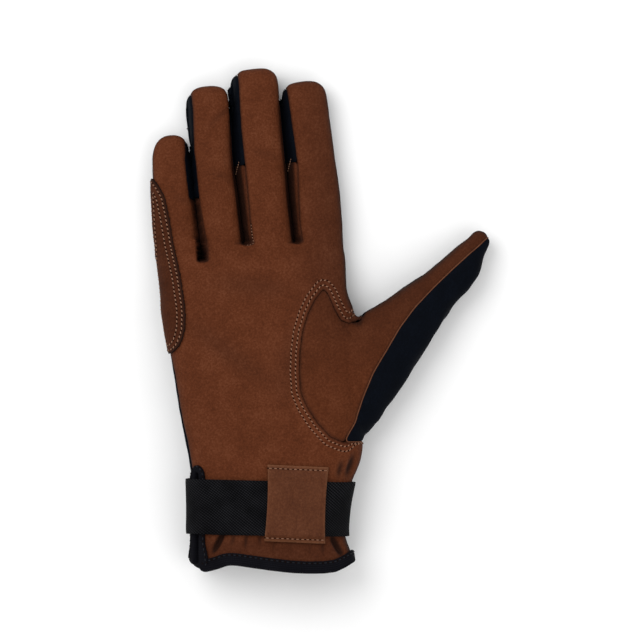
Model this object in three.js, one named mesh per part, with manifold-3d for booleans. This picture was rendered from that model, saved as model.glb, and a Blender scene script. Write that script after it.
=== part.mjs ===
// A right-hand riding glove that lies palm up on its back. Lengths are in millimetres.
// X runs towards the thumb, Y towards the fingertips and Z up out of the palm.
// Each panel is a thin wall cut from one hollow hand, with a small gap along its seams.
import * as THREE from 'three';
import { mergeVertices } from 'three/addons/utils/BufferGeometryUtils.js';
import Module from 'manifold-3d';

const wasm = await Module();
wasm.setup();

// Driving sizes of the hand
const PALM_WIDTH = 92;
const PALM_DEPTH = 31;
const HAND_LENGTH = 162; // from the hem of the cuff to the roots of the fingers
const PALM_CENTRE = 0.696; // where the origin lies, as a share of the hand's length
const THUMB_LENGTH = 107;
const THUMB_WIDTH = 33;
const THUMB_DEPTH = 25;
const THUMB_ANGLE = 43.4; // degrees from the fingers' direction
const THUMB_LIFT = 3.5; // height of its tip over the surface that the hand lies on
const CUP_DEPTH = 4.5; // hollow in the middle of the palm

// Walls, trims and gaps
const WALL = 1.4;
const CLEARANCE = 0.3;
const PATCH_THICKNESS = 1.1;
const PATCH_LENGTH = 84;
const PATCH_WIDTH = 17;
const BINDING_THICKNESS = 1.1;
const BINDING_WIDTH = 6;
const ELASTIC_THICKNESS = 1.7;
const ELASTIC_WIDTH = 27;
const TAB_THICKNESS = 1.5;
const TAB_WIDTH = 29.5;
const TAB_LENGTH = 37;
const VENT_SLIT = 0.6;
const VENT_LENGTH = 50;
const VENT_BAND = 4;
const HEM_WAVE = 6;
const GATHER_HEIGHT = 0.6; // folds that the elastic draws into the cuff

// Seams
const FINGER_SEAM = 8.6; // height of the seam along the sides of the fingers
const BACK_SEAM = 3.4; // height of the seam between the side walls and the back
const SLIT_WIDTH = 1.8; // between two finger roots
const THUMB_HOLE_LENGTH = 75;
const THUMB_HOLE_WIDTH = 30;

// Fineness of the facets
const HAND_SIDES = 32;
const FINGER_SIDES = 16;
const THUMB_SIDES = 18;
const CURVE_STEPS = 10;
const HEM_STEPS = 20;
const FACET_TOLERANCE = 0.06;
const DOME_ANGLES = [0, 32, 58, 80]; // degrees round a fingertip

const FAR = 200; // reach of a cutting solid past the glove
const MITRE_LIMIT = 0.4; // least share of an edge's move that a sharp corner follows
const STRAP_STACK = CLEARANCE + ELASTIC_THICKNESS;
const HEM_STACK = CLEARANCE + BINDING_THICKNESS;

// Sections of the hand from the hem to the knuckles. at is a share of the hand's length, left and
// right of the palm's width, depth of the palm's depth. strap and hem say what lies under the wall.
// cup is a share of how far the palm's middle sinks and ripple of how high the gathers stand.
const HAND = [
  { at: -0.035, left: -0.332, right: 0.53, depth: 1.06, strap: 0, hem: 1, cup: 0, ripple: 0.5 },
  { at: 0.035, left: -0.332, right: 0.522, depth: 1.05, strap: 0, hem: 1, cup: 0, ripple: 0.5 },
  { at: 0.078, left: -0.331, right: 0.498, depth: 0.99, strap: 1, hem: 0, cup: 0, ripple: 1 },
  { at: 0.109, left: -0.332, right: 0.472, depth: 0.95, strap: 1, hem: 0, cup: 0, ripple: 0.5 },
  { at: 0.196, left: -0.33, right: 0.485, depth: 0.93, strap: 1, hem: 0, cup: 0, ripple: 0 },
  { at: 0.276, left: -0.333, right: 0.512, depth: 0.97, strap: 1, hem: 0, cup: 0, ripple: 0 },
  { at: 0.325, left: -0.343, right: 0.557, depth: 1, strap: 0.5, hem: 0, cup: 0, ripple: 0 },
  { at: 0.387, left: -0.364, right: 0.571, depth: 1.03, strap: 0, hem: 0, cup: 0.2, ripple: 0 },
  { at: 0.486, left: -0.399, right: 0.582, depth: 1.06, strap: 0, hem: 0, cup: 0.55, ripple: 0 },
  { at: 0.603, left: -0.432, right: 0.576, depth: 1.06, strap: 0, hem: 0, cup: 0.9, ripple: 0 },
  { at: 0.696, left: -0.458, right: 0.56, depth: 1, strap: 0, hem: 0, cup: 1, ripple: 0 },
  { at: 0.78, left: -0.482, right: 0.53, depth: 0.935, strap: 0, hem: 0, cup: 0.9, ripple: 0 },
  { at: 0.844, left: -0.488, right: 0.484, depth: 0.87, strap: 0, hem: 0, cup: 0.55, ripple: 0 },
  { at: 0.912, left: -0.505, right: 0.487, depth: 0.76, strap: 0, hem: 0, cup: 0.2, ripple: 0 },
  { at: 0.967, left: -0.515, right: 0.477, depth: 0.63, strap: 0, hem: 0, cup: 0, ripple: 0 },
  { at: 1.0, left: -0.517, right: 0.47, depth: 0.53, strap: 0, hem: 0, cup: 0, ripple: 0 },
];

// The four fingers. length is a share of the hand's length, width of the palm's width and depth of
// the palm's depth. across and root place a finger's root, as shares of the palm's width and the
// hand's length. bow is the bend of its middle line, as a share of its width, and curl the rise of
// its tip. In its sections at is a share of the finger's length and width of its width. ulnar and
// radial are the shares of its width where the side walls show from the palm side.
const FINGERS = [
  {
    name: 'little', length: 0.384, width: 0.2283, depth: 0.484, curl: 2, lean: -3.2, bow: 0.035,
    across: -0.408, root: 0.93, dome: 0.2,
    sections: [
      { at: -0.25, width: 0.66, ulnar: 0, radial: 0.02 },
      { at: -0.08, width: 0.86, ulnar: 0, radial: 0.02 },
      { at: 0.05, width: 0.96, ulnar: 0, radial: 0.03 },
      { at: 0.37, width: 0.97, ulnar: 0, radial: 0.05 },
      { at: 0.56, width: 0.94, ulnar: 0, radial: 0.09 },
      { at: 0.8, width: 0.91, ulnar: 0, radial: 0.12 },
    ],
  },
  {
    name: 'ring', length: 0.4802, width: 0.2337, depth: 0.532, curl: 2.5, lean: -5.6, bow: 0.06,
    across: -0.17, root: 0.981, dome: 0.17,
    sections: [
      { at: -0.25, width: 0.8, ulnar: 0.06, radial: 0 },
      { at: 0.06, width: 0.91, ulnar: 0.07, radial: 0 },
      { at: 0.294, width: 0.955, ulnar: 0.07, radial: 0 },
      { at: 0.47, width: 0.912, ulnar: 0.07, radial: 0 },
      { at: 0.62, width: 0.94, ulnar: 0.08, radial: 0 },
      { at: 0.83, width: 1.05, ulnar: 0.16, radial: 0 },
    ],
  },
  {
    name: 'middle', length: 0.5179, width: 0.2663, depth: 0.5645, curl: 2.5, lean: -5.2, bow: 0.05,
    across: 0.073, root: 0.996, dome: 0.13,
    sections: [
      { at: -0.25, width: 0.88, ulnar: 0.12, radial: 0 },
      { at: 0.05, width: 0.965, ulnar: 0.14, radial: 0 },
      { at: 0.243, width: 0.975, ulnar: 0.18, radial: 0 },
      { at: 0.446, width: 1.01, ulnar: 0.21, radial: 0 },
      { at: 0.69, width: 0.985, ulnar: 0.18, radial: 0 },
      { at: 0.87, width: 0.965, ulnar: 0.17, radial: 0 },
    ],
  },
  {
    name: 'index', length: 0.4895, width: 0.2663, depth: 0.5484, curl: 2, lean: -6.5, bow: 0,
    across: 0.345, root: 0.986, dome: 0.14,
    sections: [
      { at: -0.25, width: 0.66, ulnar: 0.1, radial: 0 },
      { at: -0.08, width: 0.88, ulnar: 0.1, radial: 0 },
      { at: 0.05, width: 0.98, ulnar: 0.1, radial: 0 },
      { at: 0.276, width: 1.01, ulnar: 0.17, radial: 0 },
      { at: 0.484, width: 0.98, ulnar: 0.21, radial: 0 },
      { at: 0.7, width: 0.965, ulnar: 0.18, radial: 0 },
      { at: 0.86, width: 0.93, ulnar: 0.15, radial: 0 },
    ],
  },
];

// Sections of the thumb along its line. at is a share of its length, shift and width shares of its
// width, with shift towards the wrist, depth a share of its depth and rise of its tip's lift.
const THUMB_BASE = { across: 0.423, at: 0.531 };
const THUMB_DOME = 0.07;
const THUMB = [
  { at: -0.07, shift: 0.13, width: 1.16, depth: 0.8, rise: 0.85 },
  { at: 0.03, shift: 0.19, width: 1.2, depth: 1.02, rise: 0.2 },
  { at: 0.159, shift: 0.14, width: 1.13, depth: 1.06, rise: 0.1 },
  { at: 0.299, shift: 0.09, width: 1.08, depth: 1.02, rise: 0.1 },
  { at: 0.422, shift: 0.03, width: 0.97, depth: 0.95, rise: 0.2 },
  { at: 0.553, shift: 0.05, width: 0.85, depth: 0.86, rise: 0.35 },
  { at: 0.677, shift: 0.04, width: 0.74, depth: 0.78, rise: 0.5 },
  { at: 0.793, shift: 0.06, width: 0.6, depth: 0.69, rise: 0.7 },
  { at: 0.92, shift: -0.03, width: 0.42, depth: 0.56, rise: 1 },
];

// Edge of the keyhole in the palm that the thumb's leather fills, from the crotch round to the
// wrist. in is measured from the hand's edge and along from the hole's lower end.
const THUMB_HOLE = [
  { in: 0.12, along: 0.79 },
  { in: 0.19, along: 0.765 },
  { in: 0.33, along: 0.79 },
  { in: 0.44, along: 0.86 },
  { in: 0.56, along: 0.965 },
  { in: 0.62, along: 0.99 },
  { in: 0.75, along: 0.925 },
  { in: 0.87, along: 0.83 },
  { in: 0.96, along: 0.71 },
  { in: 1, along: 0.59 },
  { in: 1.01, along: 0.455 },
  { in: 0.99, along: 0.325 },
  { in: 0.89, along: 0.23 },
  { in: 0.72, along: 0.125 },
  { in: 0.51, along: 0.035 },
  { in: 0.3, along: 0 },
];
const THUMB_HOLE_END = 0.391; // its lower end, as a share of the hand's length
const HAND_EDGE = 0.565; // the hand's edge under the thumb, as a share of the palm's width

// Seam between the thumb's leather and its cloth, in the thumb's own lengthwise and crosswise shares
const THUMB_SEAM = [
  { at: -0.12, shift: 0.57 },
  { at: 0.0, shift: 0.46 },
  { at: 0.13, shift: 0.24 },
  { at: 0.28, shift: 0.12 },
  { at: 0.42, shift: 0.01 },
  { at: 0.56, shift: -0.04 },
  { at: 0.72, shift: -0.03 },
  { at: 0.85, shift: 0.0 },
  { at: 0.98, shift: 0.04 },
];

// Inner edge of the patch, in shares of its length and width
const PATCH_EDGE = [
  { along: 1, across: 0.02 },
  { along: 0.94, across: 0.27 },
  { along: 0.85, across: 0.45 },
  { along: 0.65, across: 0.61 },
  { along: 0.43, across: 0.85 },
  { along: 0.21, across: 1 },
  { along: 0.11, across: 0.95 },
  { along: 0.04, across: 0.82 },
  { along: 0, across: 0.6 },
];
const PATCH_END = 0.66; // its lower end, as a share of the hand's length

// Height of the side seams, in shares of the hand's length and the palm's depth
const LITTLE_SIDE_SEAM = [
  { at: -0.1, height: 0.65 },
  { at: 0.4, height: 0.65 },
  { at: 0.6, height: 0.62 },
  { at: 0.69, height: 0.5 },
];
const THUMB_SIDE_SEAM = [
  { at: -0.1, height: 0.5 },
  { at: 0.7, height: 0.48 },
  { at: 0.85, height: 0.4 },
];

// The hem, in shares of the palm's width and, for its waves, of their height
const HEM = [
  { across: -0.6, wave: 1.1 },
  { across: -0.345, wave: 0.95 },
  { across: -0.29, wave: 0.05 },
  { across: -0.19, wave: 0.4 },
  { across: -0.14, wave: 0.68 },
  { across: -0.07, wave: 0.6 },
  { across: 0.02, wave: 0.4 },
  { across: 0.19, wave: 0.07 },
  { across: 0.33, wave: 0 },
  { across: 0.44, wave: 0.15 },
  { across: 0.54, wave: 0.95 },
  { across: 0.8, wave: 1.3 },
];
const VENT_ACROSS = -0.296; // share of the palm's width
const VENT_FLOOR = 0.42; // share of the palm's depth above which the vent is cut
const ELASTIC_AT = 0.195; // share of the hand's length
const ELASTIC_SLANT = -0.02;
const TAB_AT = 0.207; // share of the hand's length
const TAB_ACROSS = 0.22; // share of the palm's width
const TAB_TURN = -2.5; // degrees
const GATHER_COUNT = 8;
const SOFT_SQUARE = 2.5; // power of the rounded sections, where 2 is an ellipse
const UNDER_FLAT = 1.14; // how far the underside is pressed flat
const DOME_ROUNDNESS = 0.85; // power of a fingertip's outline, where 1 is an ellipse
const TIP_THINNING = 0.12; // share of a finger's depth that is lost at its tip
const WALL_END = 0.45; // how far round a fingertip its side wall goes, low down
const STRIP_END = 0.85; // and where it shows from the palm side
const CROTCH_AT = 0.78; // between thumb and index finger, as a share of the hand's length
const THUMB_BACK_INSET = 0.3; // of the seam on the back, as a share of the keyhole's width
const PATCH_OUTSIDE = 0.65; // of the patch's table, as a share of the little finger's width
const SEAM_LEVELS_AT = 0.95; // where the side seams reach the fingers' seam height
const PAST_HEM = -0.1; // a share of the hand's length beyond the hem
const PAST_TIP = 1.4; // a share of the thumb's length beyond its tip

const handY = (share) => (share - PALM_CENTRE) * HAND_LENGTH;
const handX = (share) => share * PALM_WIDTH;
const degrees = THREE.MathUtils.degToRad;

/** Turns a closed three.js geometry into a solid that can be joined and cut. */
function toSolid(geometry) {
  const bare = geometry.index ? geometry.toNonIndexed() : geometry.clone();
  for (const name of Object.keys(bare.attributes)) {
    if (name !== 'position') bare.deleteAttribute(name);
  }
  const merged = mergeVertices(bare, 1e-4);
  return new wasm.Manifold(new wasm.Mesh({
    numProp: 3,
    vertProperties: merged.attributes.position.array,
    triVerts: new Uint32Array(merged.index.array),
  }));
}

/** One corner of a rounded section. turn runs from the thumb's side over the palm and back. */
function sectionPoint(row, inset, turn) {
  const cos = Math.cos(turn);
  const sin = Math.sin(turn);
  const roundness = 2 / SOFT_SQUARE;
  const across = Math.sign(cos) * Math.abs(cos) ** roundness;
  const up = Math.sign(sin) * Math.abs(sin) ** roundness;
  const taper = row.taper ?? 1;
  const half = (row.depth / 2 - inset) * taper;
  const pressed = up < 0 ? Math.max(-1, up * UNDER_FLAT) : up;
  const hollow = up > 0 ? (row.cup ?? 0) * (1 - across ** 2) ** 2 : 0;
  const gather = up > 0 ? (row.ripple ?? 0) * up * Math.sin(GATHER_COUNT * turn) : 0;
  const sideways = across * (row.width / 2 - inset) * taper;
  const ahead = -inset * (row.reach ?? 0);
  const lean = degrees(row.lean ?? 0);
  return [
    row.x + Math.cos(lean) * sideways + Math.sin(lean) * ahead,
    row.y - Math.sin(lean) * sideways + Math.cos(lean) * ahead,
    row.rise + row.depth / 2 + half * pressed - hollow + gather,
  ];
}

/** A solid through a row of sections, closed at both ends. */
function loft(rows, inset, sides) {
  const positions = [];
  const faces = [];
  for (const row of rows) {
    for (let side = 0; side < sides; side += 1) {
      positions.push(...sectionPoint(row, inset, (side / sides) * Math.PI * 2));
    }
  }
  const lastRing = (rows.length - 1) * sides;
  const addCentre = (ring) => {
    const sum = [0, 0, 0];
    for (let side = 0; side < sides; side += 1) {
      for (let axis = 0; axis < 3; axis += 1) sum[axis] += positions[(ring + side) * 3 + axis] / sides;
    }
    positions.push(...sum);
    return positions.length / 3 - 1;
  };
  const start = addCentre(0);
  const end = addCentre(lastRing);
  for (let side = 0; side < sides; side += 1) {
    const next = (side + 1) % sides;
    faces.push(start, side, next, end, lastRing + next, lastRing + side);
    for (let ring = 0; ring < lastRing; ring += sides) {
      faces.push(ring + side, ring + sides + side, ring + next);
      faces.push(ring + next, ring + sides + side, ring + sides + next);
    }
  }
  const geometry = new THREE.BufferGeometry();
  geometry.setAttribute('position', new THREE.Float32BufferAttribute(positions, 3));
  geometry.setIndex(faces);
  return toSolid(geometry);
}

/** An upright prism over an outline in plan. */
function prism(outline, bottom = -FAR, top = FAR) {
  const shape = new THREE.Shape(outline);
  const geometry = new THREE.ExtrudeGeometry(shape, { depth: top - bottom, bevelEnabled: false });
  return toSolid(geometry.translate(0, 0, bottom));
}

/** A bar along X over a profile in Y and Z. */
function sideBar(profile, from, to) {
  const shape = new THREE.Shape(profile);
  const geometry = new THREE.ExtrudeGeometry(shape, { depth: to - from, bevelEnabled: false });
  const turned = new THREE.Matrix4().makeBasis(
    new THREE.Vector3(0, 1, 0),
    new THREE.Vector3(0, 0, 1),
    new THREE.Vector3(1, 0, 0),
  );
  return toSolid(geometry.translate(0, 0, from).applyMatrix4(turned));
}

/** Moves each edge of an outline outwards by the same distance. */
function grow(outline, distance) {
  const turnsLeft = THREE.ShapeUtils.area(outline) > 0 ? 1 : -1;
  return outline.map((corner, i) => {
    const before = outline[(i + outline.length - 1) % outline.length];
    const after = outline[(i + 1) % outline.length];
    const inward = corner.clone().sub(before).normalize();
    const onward = after.clone().sub(corner).normalize();
    const normal = new THREE.Vector2(inward.y + onward.y, -inward.x - onward.x).normalize();
    const slant = Math.max(MITRE_LIMIT, normal.x * onward.y - normal.y * onward.x);
    return corner.clone().addScaledVector(normal, (turnsLeft * distance) / slant);
  });
}

/** Points of a smooth line through the given ones. */
function smooth(points, steps = CURVE_STEPS) {
  return new THREE.SplineCurve(points).getPoints(steps);
}

const point = (x, y) => new THREE.Vector2(x, y);
const union = (solids) => solids.reduce((all, solid) => all.add(solid));

/** The largest body of a cut wall, without the crumbs of the cut. */
function mainBody(solid) {
  const bodies = solid.decompose();
  return bodies.reduce((best, body) => (body.volume() > best.volume() ? body : best));
}

/** A value between the rows of a table, read at a share of the length. */
function read(rows, at, column) {
  const next = rows.findIndex((row) => row.at > at);
  if (next === -1) return rows[rows.length - 1][column];
  if (next === 0) return rows[0][column];
  const [low, high] = [rows[next - 1], rows[next]];
  return THREE.MathUtils.mapLinear(at, low.at, high.at, low[column], high[column]);
}

/** The rounded end of a finger or thumb, as sections after its last row. */
function domeRows(base, place, from, to) {
  return DOME_ANGLES.slice(1).map((angle) => {
    const reach = Math.sin(degrees(angle));
    const taper = Math.cos(degrees(angle)) ** DOME_ROUNDNESS;
    return { ...base, ...place(from + (to - from) * reach), reach, taper };
  });
}

/** A finger: its sections, and the edges that its neighbours and seams follow. */
class Finger {
  constructor(sizes) {
    Object.assign(this, sizes);
    this.length = HAND_LENGTH * sizes.length;
    this.width = PALM_WIDTH * sizes.width;
    this.depth = PALM_DEPTH * sizes.depth;
    this.rootX = handX(sizes.across);
    this.rootY = handY(sizes.root);
    this.slope = Math.tan(degrees(sizes.lean));
    this.tipY = this.rootY + this.length * Math.cos(degrees(sizes.lean));
    this.domeY = THREE.MathUtils.lerp(this.rootY, this.tipY, 1 - this.dome);
  }

  share(y) {
    return (y - this.rootY) / (this.tipY - this.rootY);
  }

  middle(y) {
    const bend = this.bow * this.width * Math.sin(Math.PI * THREE.MathUtils.clamp(this.share(y), 0, 1));
    return this.rootX + this.slope * (y - this.rootY) - bend;
  }

  halfWidth(y) {
    return (this.width * read(this.sections, this.share(y), 'width')) / 2;
  }

  place(at) {
    const y = THREE.MathUtils.lerp(this.rootY, this.tipY, at);
    return { x: this.middle(y), y, rise: this.curl * Math.max(0, at) ** 2 };
  }

  rows() {
    const rows = this.sections.map((section) => ({
      ...this.place(section.at),
      width: this.width * section.width,
      depth: this.depth * (1 - TIP_THINNING * Math.max(0, section.at)),
      lean: this.lean,
    }));
    const last = this.sections[this.sections.length - 1].at;
    const base = rows[rows.length - 1];
    return [...rows, ...domeRows(base, (at) => this.place(at), last, 1)];
  }
}

const fingers = FINGERS.map((sizes) => new Finger(sizes));

/** A place on the thumb's own line, moved crosswise towards the wrist. */
function thumbPlace(at, shift) {
  const angle = degrees(THUMB_ANGLE);
  const along = at * THUMB_LENGTH;
  const aside = shift * THUMB_WIDTH;
  return point(
    handX(THUMB_BASE.across) + Math.sin(angle) * along + Math.cos(angle) * aside,
    handY(THUMB_BASE.at) + Math.cos(angle) * along - Math.sin(angle) * aside,
  );
}

function thumbRows() {
  const section = (row) => {
    const { x, y } = thumbPlace(row.at, row.shift);
    return {
      x, y, width: row.width * THUMB_WIDTH, depth: row.depth * THUMB_DEPTH,
      rise: row.rise * THUMB_LIFT, lean: THUMB_ANGLE,
    };
  };
  const rows = THUMB.map(section);
  const last = THUMB[THUMB.length - 1];
  const place = (at) => {
    const { x, y } = thumbPlace(at, last.shift);
    return { x, y };
  };
  return [...rows, ...domeRows(rows[rows.length - 1], place, 1 - THUMB_DOME, 1)];
}

function handRows() {
  return HAND.map((row, i) => ({
    x: handX((row.left + row.right) / 2),
    y: handY(row.at),
    width: handX(row.right - row.left),
    depth: PALM_DEPTH * row.depth,
    rise: Math.max(row.strap * STRAP_STACK, row.hem * HEM_STACK),
    cup: row.cup * CUP_DEPTH,
    ripple: row.ripple * GATHER_HEIGHT,
    reach: i === HAND.length - 1 ? 1 : 0,
  }));
}

const handSolid = (inset) => loft(handRows(), inset, HAND_SIDES);
const fingerSolid = (finger, inset) => loft(finger.rows(), inset, FINGER_SIDES);
const thumbSolid = (inset) => loft(thumbRows(), inset, THUMB_SIDES);

/** The whole hand, smaller all round by inset. */
function gloveSolid(inset) {
  const parts = fingers.map((finger) => fingerSolid(finger, inset));
  return union([handSolid(inset), thumbSolid(inset), ...parts]);
}

/** The gap between two neighbouring fingers, and the side walls that face it. */
class Slit {
  constructor(left, right) {
    this.left = left;
    this.right = right;
    this.short = left.tipY < right.tipY ? left : right;
    this.bottom = Math.min(left.rootY, right.rootY) + SLIT_WIDTH / 2;
    this.gussetEnd = THREE.MathUtils.lerp(this.short.rootY, this.short.tipY, 0.5);
  }

  /** The middle of the gap. Past the shorter fingertip it keeps beside the longer finger. */
  line(y) {
    const leftEdge = this.left.middle(y) + this.left.halfWidth(y);
    const rightEdge = this.right.middle(y) - this.right.halfWidth(y);
    if (y < this.short.domeY) return (leftEdge + rightEdge) / 2;
    return this.short === this.left ? rightEdge - CLEARANCE : leftEdge + CLEARANCE;
  }

  heights(from, to) {
    const count = 7;
    return Array.from({ length: count }, (_, i) => from + ((to - from) * i) / (count - 1));
  }

  /** The open gap itself, wide at the finger roots and narrow above. */
  opening(margin) {
    const reach = this.heights(this.bottom, this.short.tipY);
    const half = (y) => {
      const up = THREE.MathUtils.smoothstep(y, this.bottom, this.short.domeY);
      return THREE.MathUtils.lerp(SLIT_WIDTH / 2, CLEARANCE, up);
    };
    const top = this.short.tipY + FAR;
    const topX = this.line(this.short.tipY);
    const outline = [
      ...reach.map((y) => point(this.line(y) - half(y), y)),
      point(topX - CLEARANCE, this.short.tipY + margin + WALL),
      point(topX + CLEARANCE, this.short.tipY + margin + WALL),
      ...reach.slice().reverse().map((y) => point(this.line(y) + half(y), y)),
    ];
    return prism(grow(outline, margin), -FAR, top);
  }

  /** Everything between the middle lines of one finger and the gap, up to its fingertip. */
  zone(finger, margin, bottom, top) {
    const end = THREE.MathUtils.lerp(finger.domeY, finger.tipY, WALL_END);
    const start = this.bottom - SLIT_WIDTH - WALL;
    const reach = this.heights(start, end);
    const outline = [
      ...reach.map((y) => point(this.line(Math.min(y, this.short.tipY)), y)),
      ...reach.slice().reverse().map((y) => point(finger.middle(y), y)),
    ];
    return prism(grow(outline, margin), bottom - margin, top + margin);
  }

  /** The part of a side wall that shows from the palm side. */
  edgeZone(finger, margin, bottom) {
    const ulnar = finger === this.right;
    const column = ulnar ? 'ulnar' : 'radial';
    const towards = ulnar ? 1 : -1;
    const start = this.bottom - SLIT_WIDTH - WALL;
    const end = THREE.MathUtils.lerp(finger.domeY, finger.tipY, STRIP_END);
    const reach = this.heights(start, end);
    const edge = (y) => {
      const silhouette = finger.middle(y) - towards * finger.halfWidth(y);
      return silhouette + towards * finger.width * read(finger.sections, finger.share(y), column);
    };
    const outline = [
      ...reach.map((y) => point(this.line(Math.min(y, this.short.tipY)), y)),
      ...reach.slice().reverse().map((y) => point(edge(y), y)),
    ];
    return prism(grow(outline, margin), bottom - margin, FAR);
  }

  showsOn(finger) {
    const column = finger === this.right ? 'ulnar' : 'radial';
    return finger.sections.some((section) => section[column] > 0);
  }

  /** Where one finger's side wall lies. */
  side(finger, margin) {
    const low = this.zone(finger, margin, BACK_SEAM + CLEARANCE, FINGER_SEAM);
    return this.showsOn(finger) ? low.add(this.edgeZone(finger, margin, BACK_SEAM + CLEARANCE)) : low;
  }

  both(margin) {
    return this.side(this.left, margin).add(this.side(this.right, margin));
  }
}

const slits = fingers.slice(1).map((finger, i) => new Slit(fingers[i], finger));

/** The outer form of the glove above the hem, and the same form at a smaller size. */
function slitGlove(inset) {
  return slits.reduce((body, slit) => body.subtract(slit.opening(inset)), gloveSolid(inset));
}

/** Everything beyond the wavy hem, moved towards the fingers by offset. */
function pastHem(offset) {
  const line = smooth(HEM.map((row) => point(handX(row.across), handY(0) + row.wave * HEM_WAVE)), HEM_STEPS);
  const outline = line.map((p) => point(p.x, p.y + offset));
  return prism([...outline, point(FAR, FAR), point(-FAR, FAR)]);
}

const ventX = handX(VENT_ACROSS);
const ventTop = handY(0) + VENT_LENGTH;

/** A slot along the vent. */
function ventSlot(half, end = ventTop) {
  const outline = [
    point(ventX - half, handY(PAST_HEM)), point(ventX + half, handY(PAST_HEM)),
    point(ventX + half, end), point(ventX - half, end),
  ];
  return prism(outline, VENT_FLOOR * PALM_DEPTH, FAR);
}

/** Everything on the back's side of the side seams. */
function backSide(margin) {
  const profile = (rows) => [
    ...rows.map((row) => point(handY(row.at), row.height * PALM_DEPTH + margin)),
    point(handY(SEAM_LEVELS_AT), FINGER_SEAM + margin),
    point(handY(0) + HAND_LENGTH + FAR, FINGER_SEAM + margin),
    point(handY(0) + HAND_LENGTH + FAR, -FAR),
    point(handY(PAST_HEM), -FAR),
  ];
  const ventSide = prism([
    point(-FAR, handY(PAST_HEM)), point(ventX, handY(PAST_HEM)),
    point(ventX, ventTop + margin), point(-FAR, ventTop + margin),
  ]);
  return sideBar(profile(LITTLE_SIDE_SEAM), -FAR, 0)
    .add(sideBar(profile(THUMB_SIDE_SEAM), 0, FAR))
    .add(ventSide);
}

/** The thumb's part of the wall: the keyhole above the side seam, and the hand's edge below it. */
function thumbZone(margin) {
  const edge = handX(HAND_EDGE);
  const end = handY(THUMB_HOLE_END);
  const hole = THUMB_HOLE.map((row) => point(
    edge - row.in * THUMB_HOLE_WIDTH,
    end + row.along * THUMB_HOLE_LENGTH,
  ));
  const crotch = point(edge - CLEARANCE, handY(CROTCH_AT));
  const beyond = [point(edge + FAR, end), point(edge + FAR, crotch.y + FAR), point(edge, crotch.y + FAR)];
  const above = prism(grow([crotch, ...hole, ...beyond], margin), -FAR, FAR);
  const inset = THUMB_HOLE_WIDTH * THUMB_BACK_INSET;
  const backEdge = smooth([
    crotch,
    point(edge - inset, THREE.MathUtils.lerp(crotch.y, end, 0.2)),
    point(edge - inset, THREE.MathUtils.lerp(crotch.y, end, 0.7)),
    point(edge - inset / 2, end),
  ]);
  const below = prism(grow([...backEdge, ...beyond], margin), -FAR, FAR);
  const back = backSide(0);
  return above.subtract(back).add(below.intersect(back));
}

/** The cloth's part of the thumb: beyond its seam, and its whole underside. */
function thumbClothZone(margin) {
  const seam = smooth(THUMB_SEAM.map((row) => thumbPlace(row.at, row.shift)));
  const lowest = THUMB_SEAM[0].at;
  const highest = THUMB_SEAM[THUMB_SEAM.length - 1].shift;
  const aside = FAR / THUMB_WIDTH;
  const outline = [
    ...seam, thumbPlace(PAST_TIP, highest), thumbPlace(PAST_TIP, aside), thumbPlace(lowest, aside),
  ];
  return prism(grow(outline, margin)).add(backSide(margin));
}

/** Everything within the elastic's width, and a margin, across the wrist. */
function elasticZone(margin) {
  const centre = handY(ELASTIC_AT);
  const half = ELASTIC_WIDTH / 2;
  const rise = ELASTIC_SLANT * PALM_WIDTH;
  return prism(grow([
    point(-PALM_WIDTH, centre - half - rise), point(PALM_WIDTH, centre - half + rise),
    point(PALM_WIDTH, centre + half + rise), point(-PALM_WIDTH, centre + half - rise),
  ], margin));
}

/** The hand with the vent's binding on it, larger all round by offset. */
function wristSolid(offset, margin) {
  const half = VENT_BAND + CLEARANCE + margin;
  const overVent = handSolid(-offset - HEM_STACK).intersect(ventSlot(half));
  return handSolid(-offset).add(overVent);
}

const outer = slitGlove(0);
const inner = slitGlove(WALL);
const slotHalf = VENT_SLIT / 2 + BINDING_THICKNESS;
const shell = outer
  .subtract(inner)
  .intersect(pastHem(HEM_STACK))
  .subtract(ventSlot(slotHalf + CLEARANCE));

const half = CLEARANCE / 2;
const handShell = shell.subtract(thumbZone(half));
const sideZone = union(slits.map((slit) => slit.both(half)));
const palmLeather = mainBody(handShell.subtract(backSide(half)).subtract(sideZone));
const backFabric = mainBody(handShell.intersect(backSide(-half)).subtract(sideZone));

const thumbShell = shell.intersect(thumbZone(-half));
const thumbLeather = mainBody(thumbShell.subtract(thumbClothZone(half)));
const thumbFabric = mainBody(thumbShell.intersect(thumbClothZone(-half)));

/** The leather fork at the bottom of a slit. */
function gusset(slit) {
  const below = prism([
    point(-FAR, -FAR), point(FAR, -FAR),
    point(FAR, slit.gussetEnd - half), point(-FAR, slit.gussetEnd - half),
  ]);
  return mainBody(shell.intersect(slit.both(-half)).intersect(below));
}

/** The cloth side wall of one finger above that fork. */
function sideStrip(slit, finger) {
  const above = prism([
    point(-FAR, slit.gussetEnd + half), point(FAR, slit.gussetEnd + half), point(FAR, FAR), point(-FAR, FAR),
  ]);
  return mainBody(shell.intersect(slit.side(finger, -half)).intersect(above));
}

/** The patch lies on the leather along the little finger's side. */
function sidePatch() {
  const skin = (offset) => handSolid(-offset).add(fingerSolid(fingers[0], -offset));
  const left = fingers[0].rootX - fingers[0].width * PATCH_OUTSIDE;
  const edge = smooth(PATCH_EDGE.map((row) => point(
    left + row.across * PATCH_WIDTH,
    handY(PATCH_END) + row.along * PATCH_LENGTH,
  )));
  const outline = [...edge, point(-FAR, handY(PATCH_END)), point(-FAR, handY(PATCH_END) + PATCH_LENGTH)];
  const layer = skin(CLEARANCE + PATCH_THICKNESS).subtract(skin(CLEARANCE));
  return mainBody(layer.intersect(prism(outline)).subtract(backSide(CLEARANCE)));
}

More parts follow.
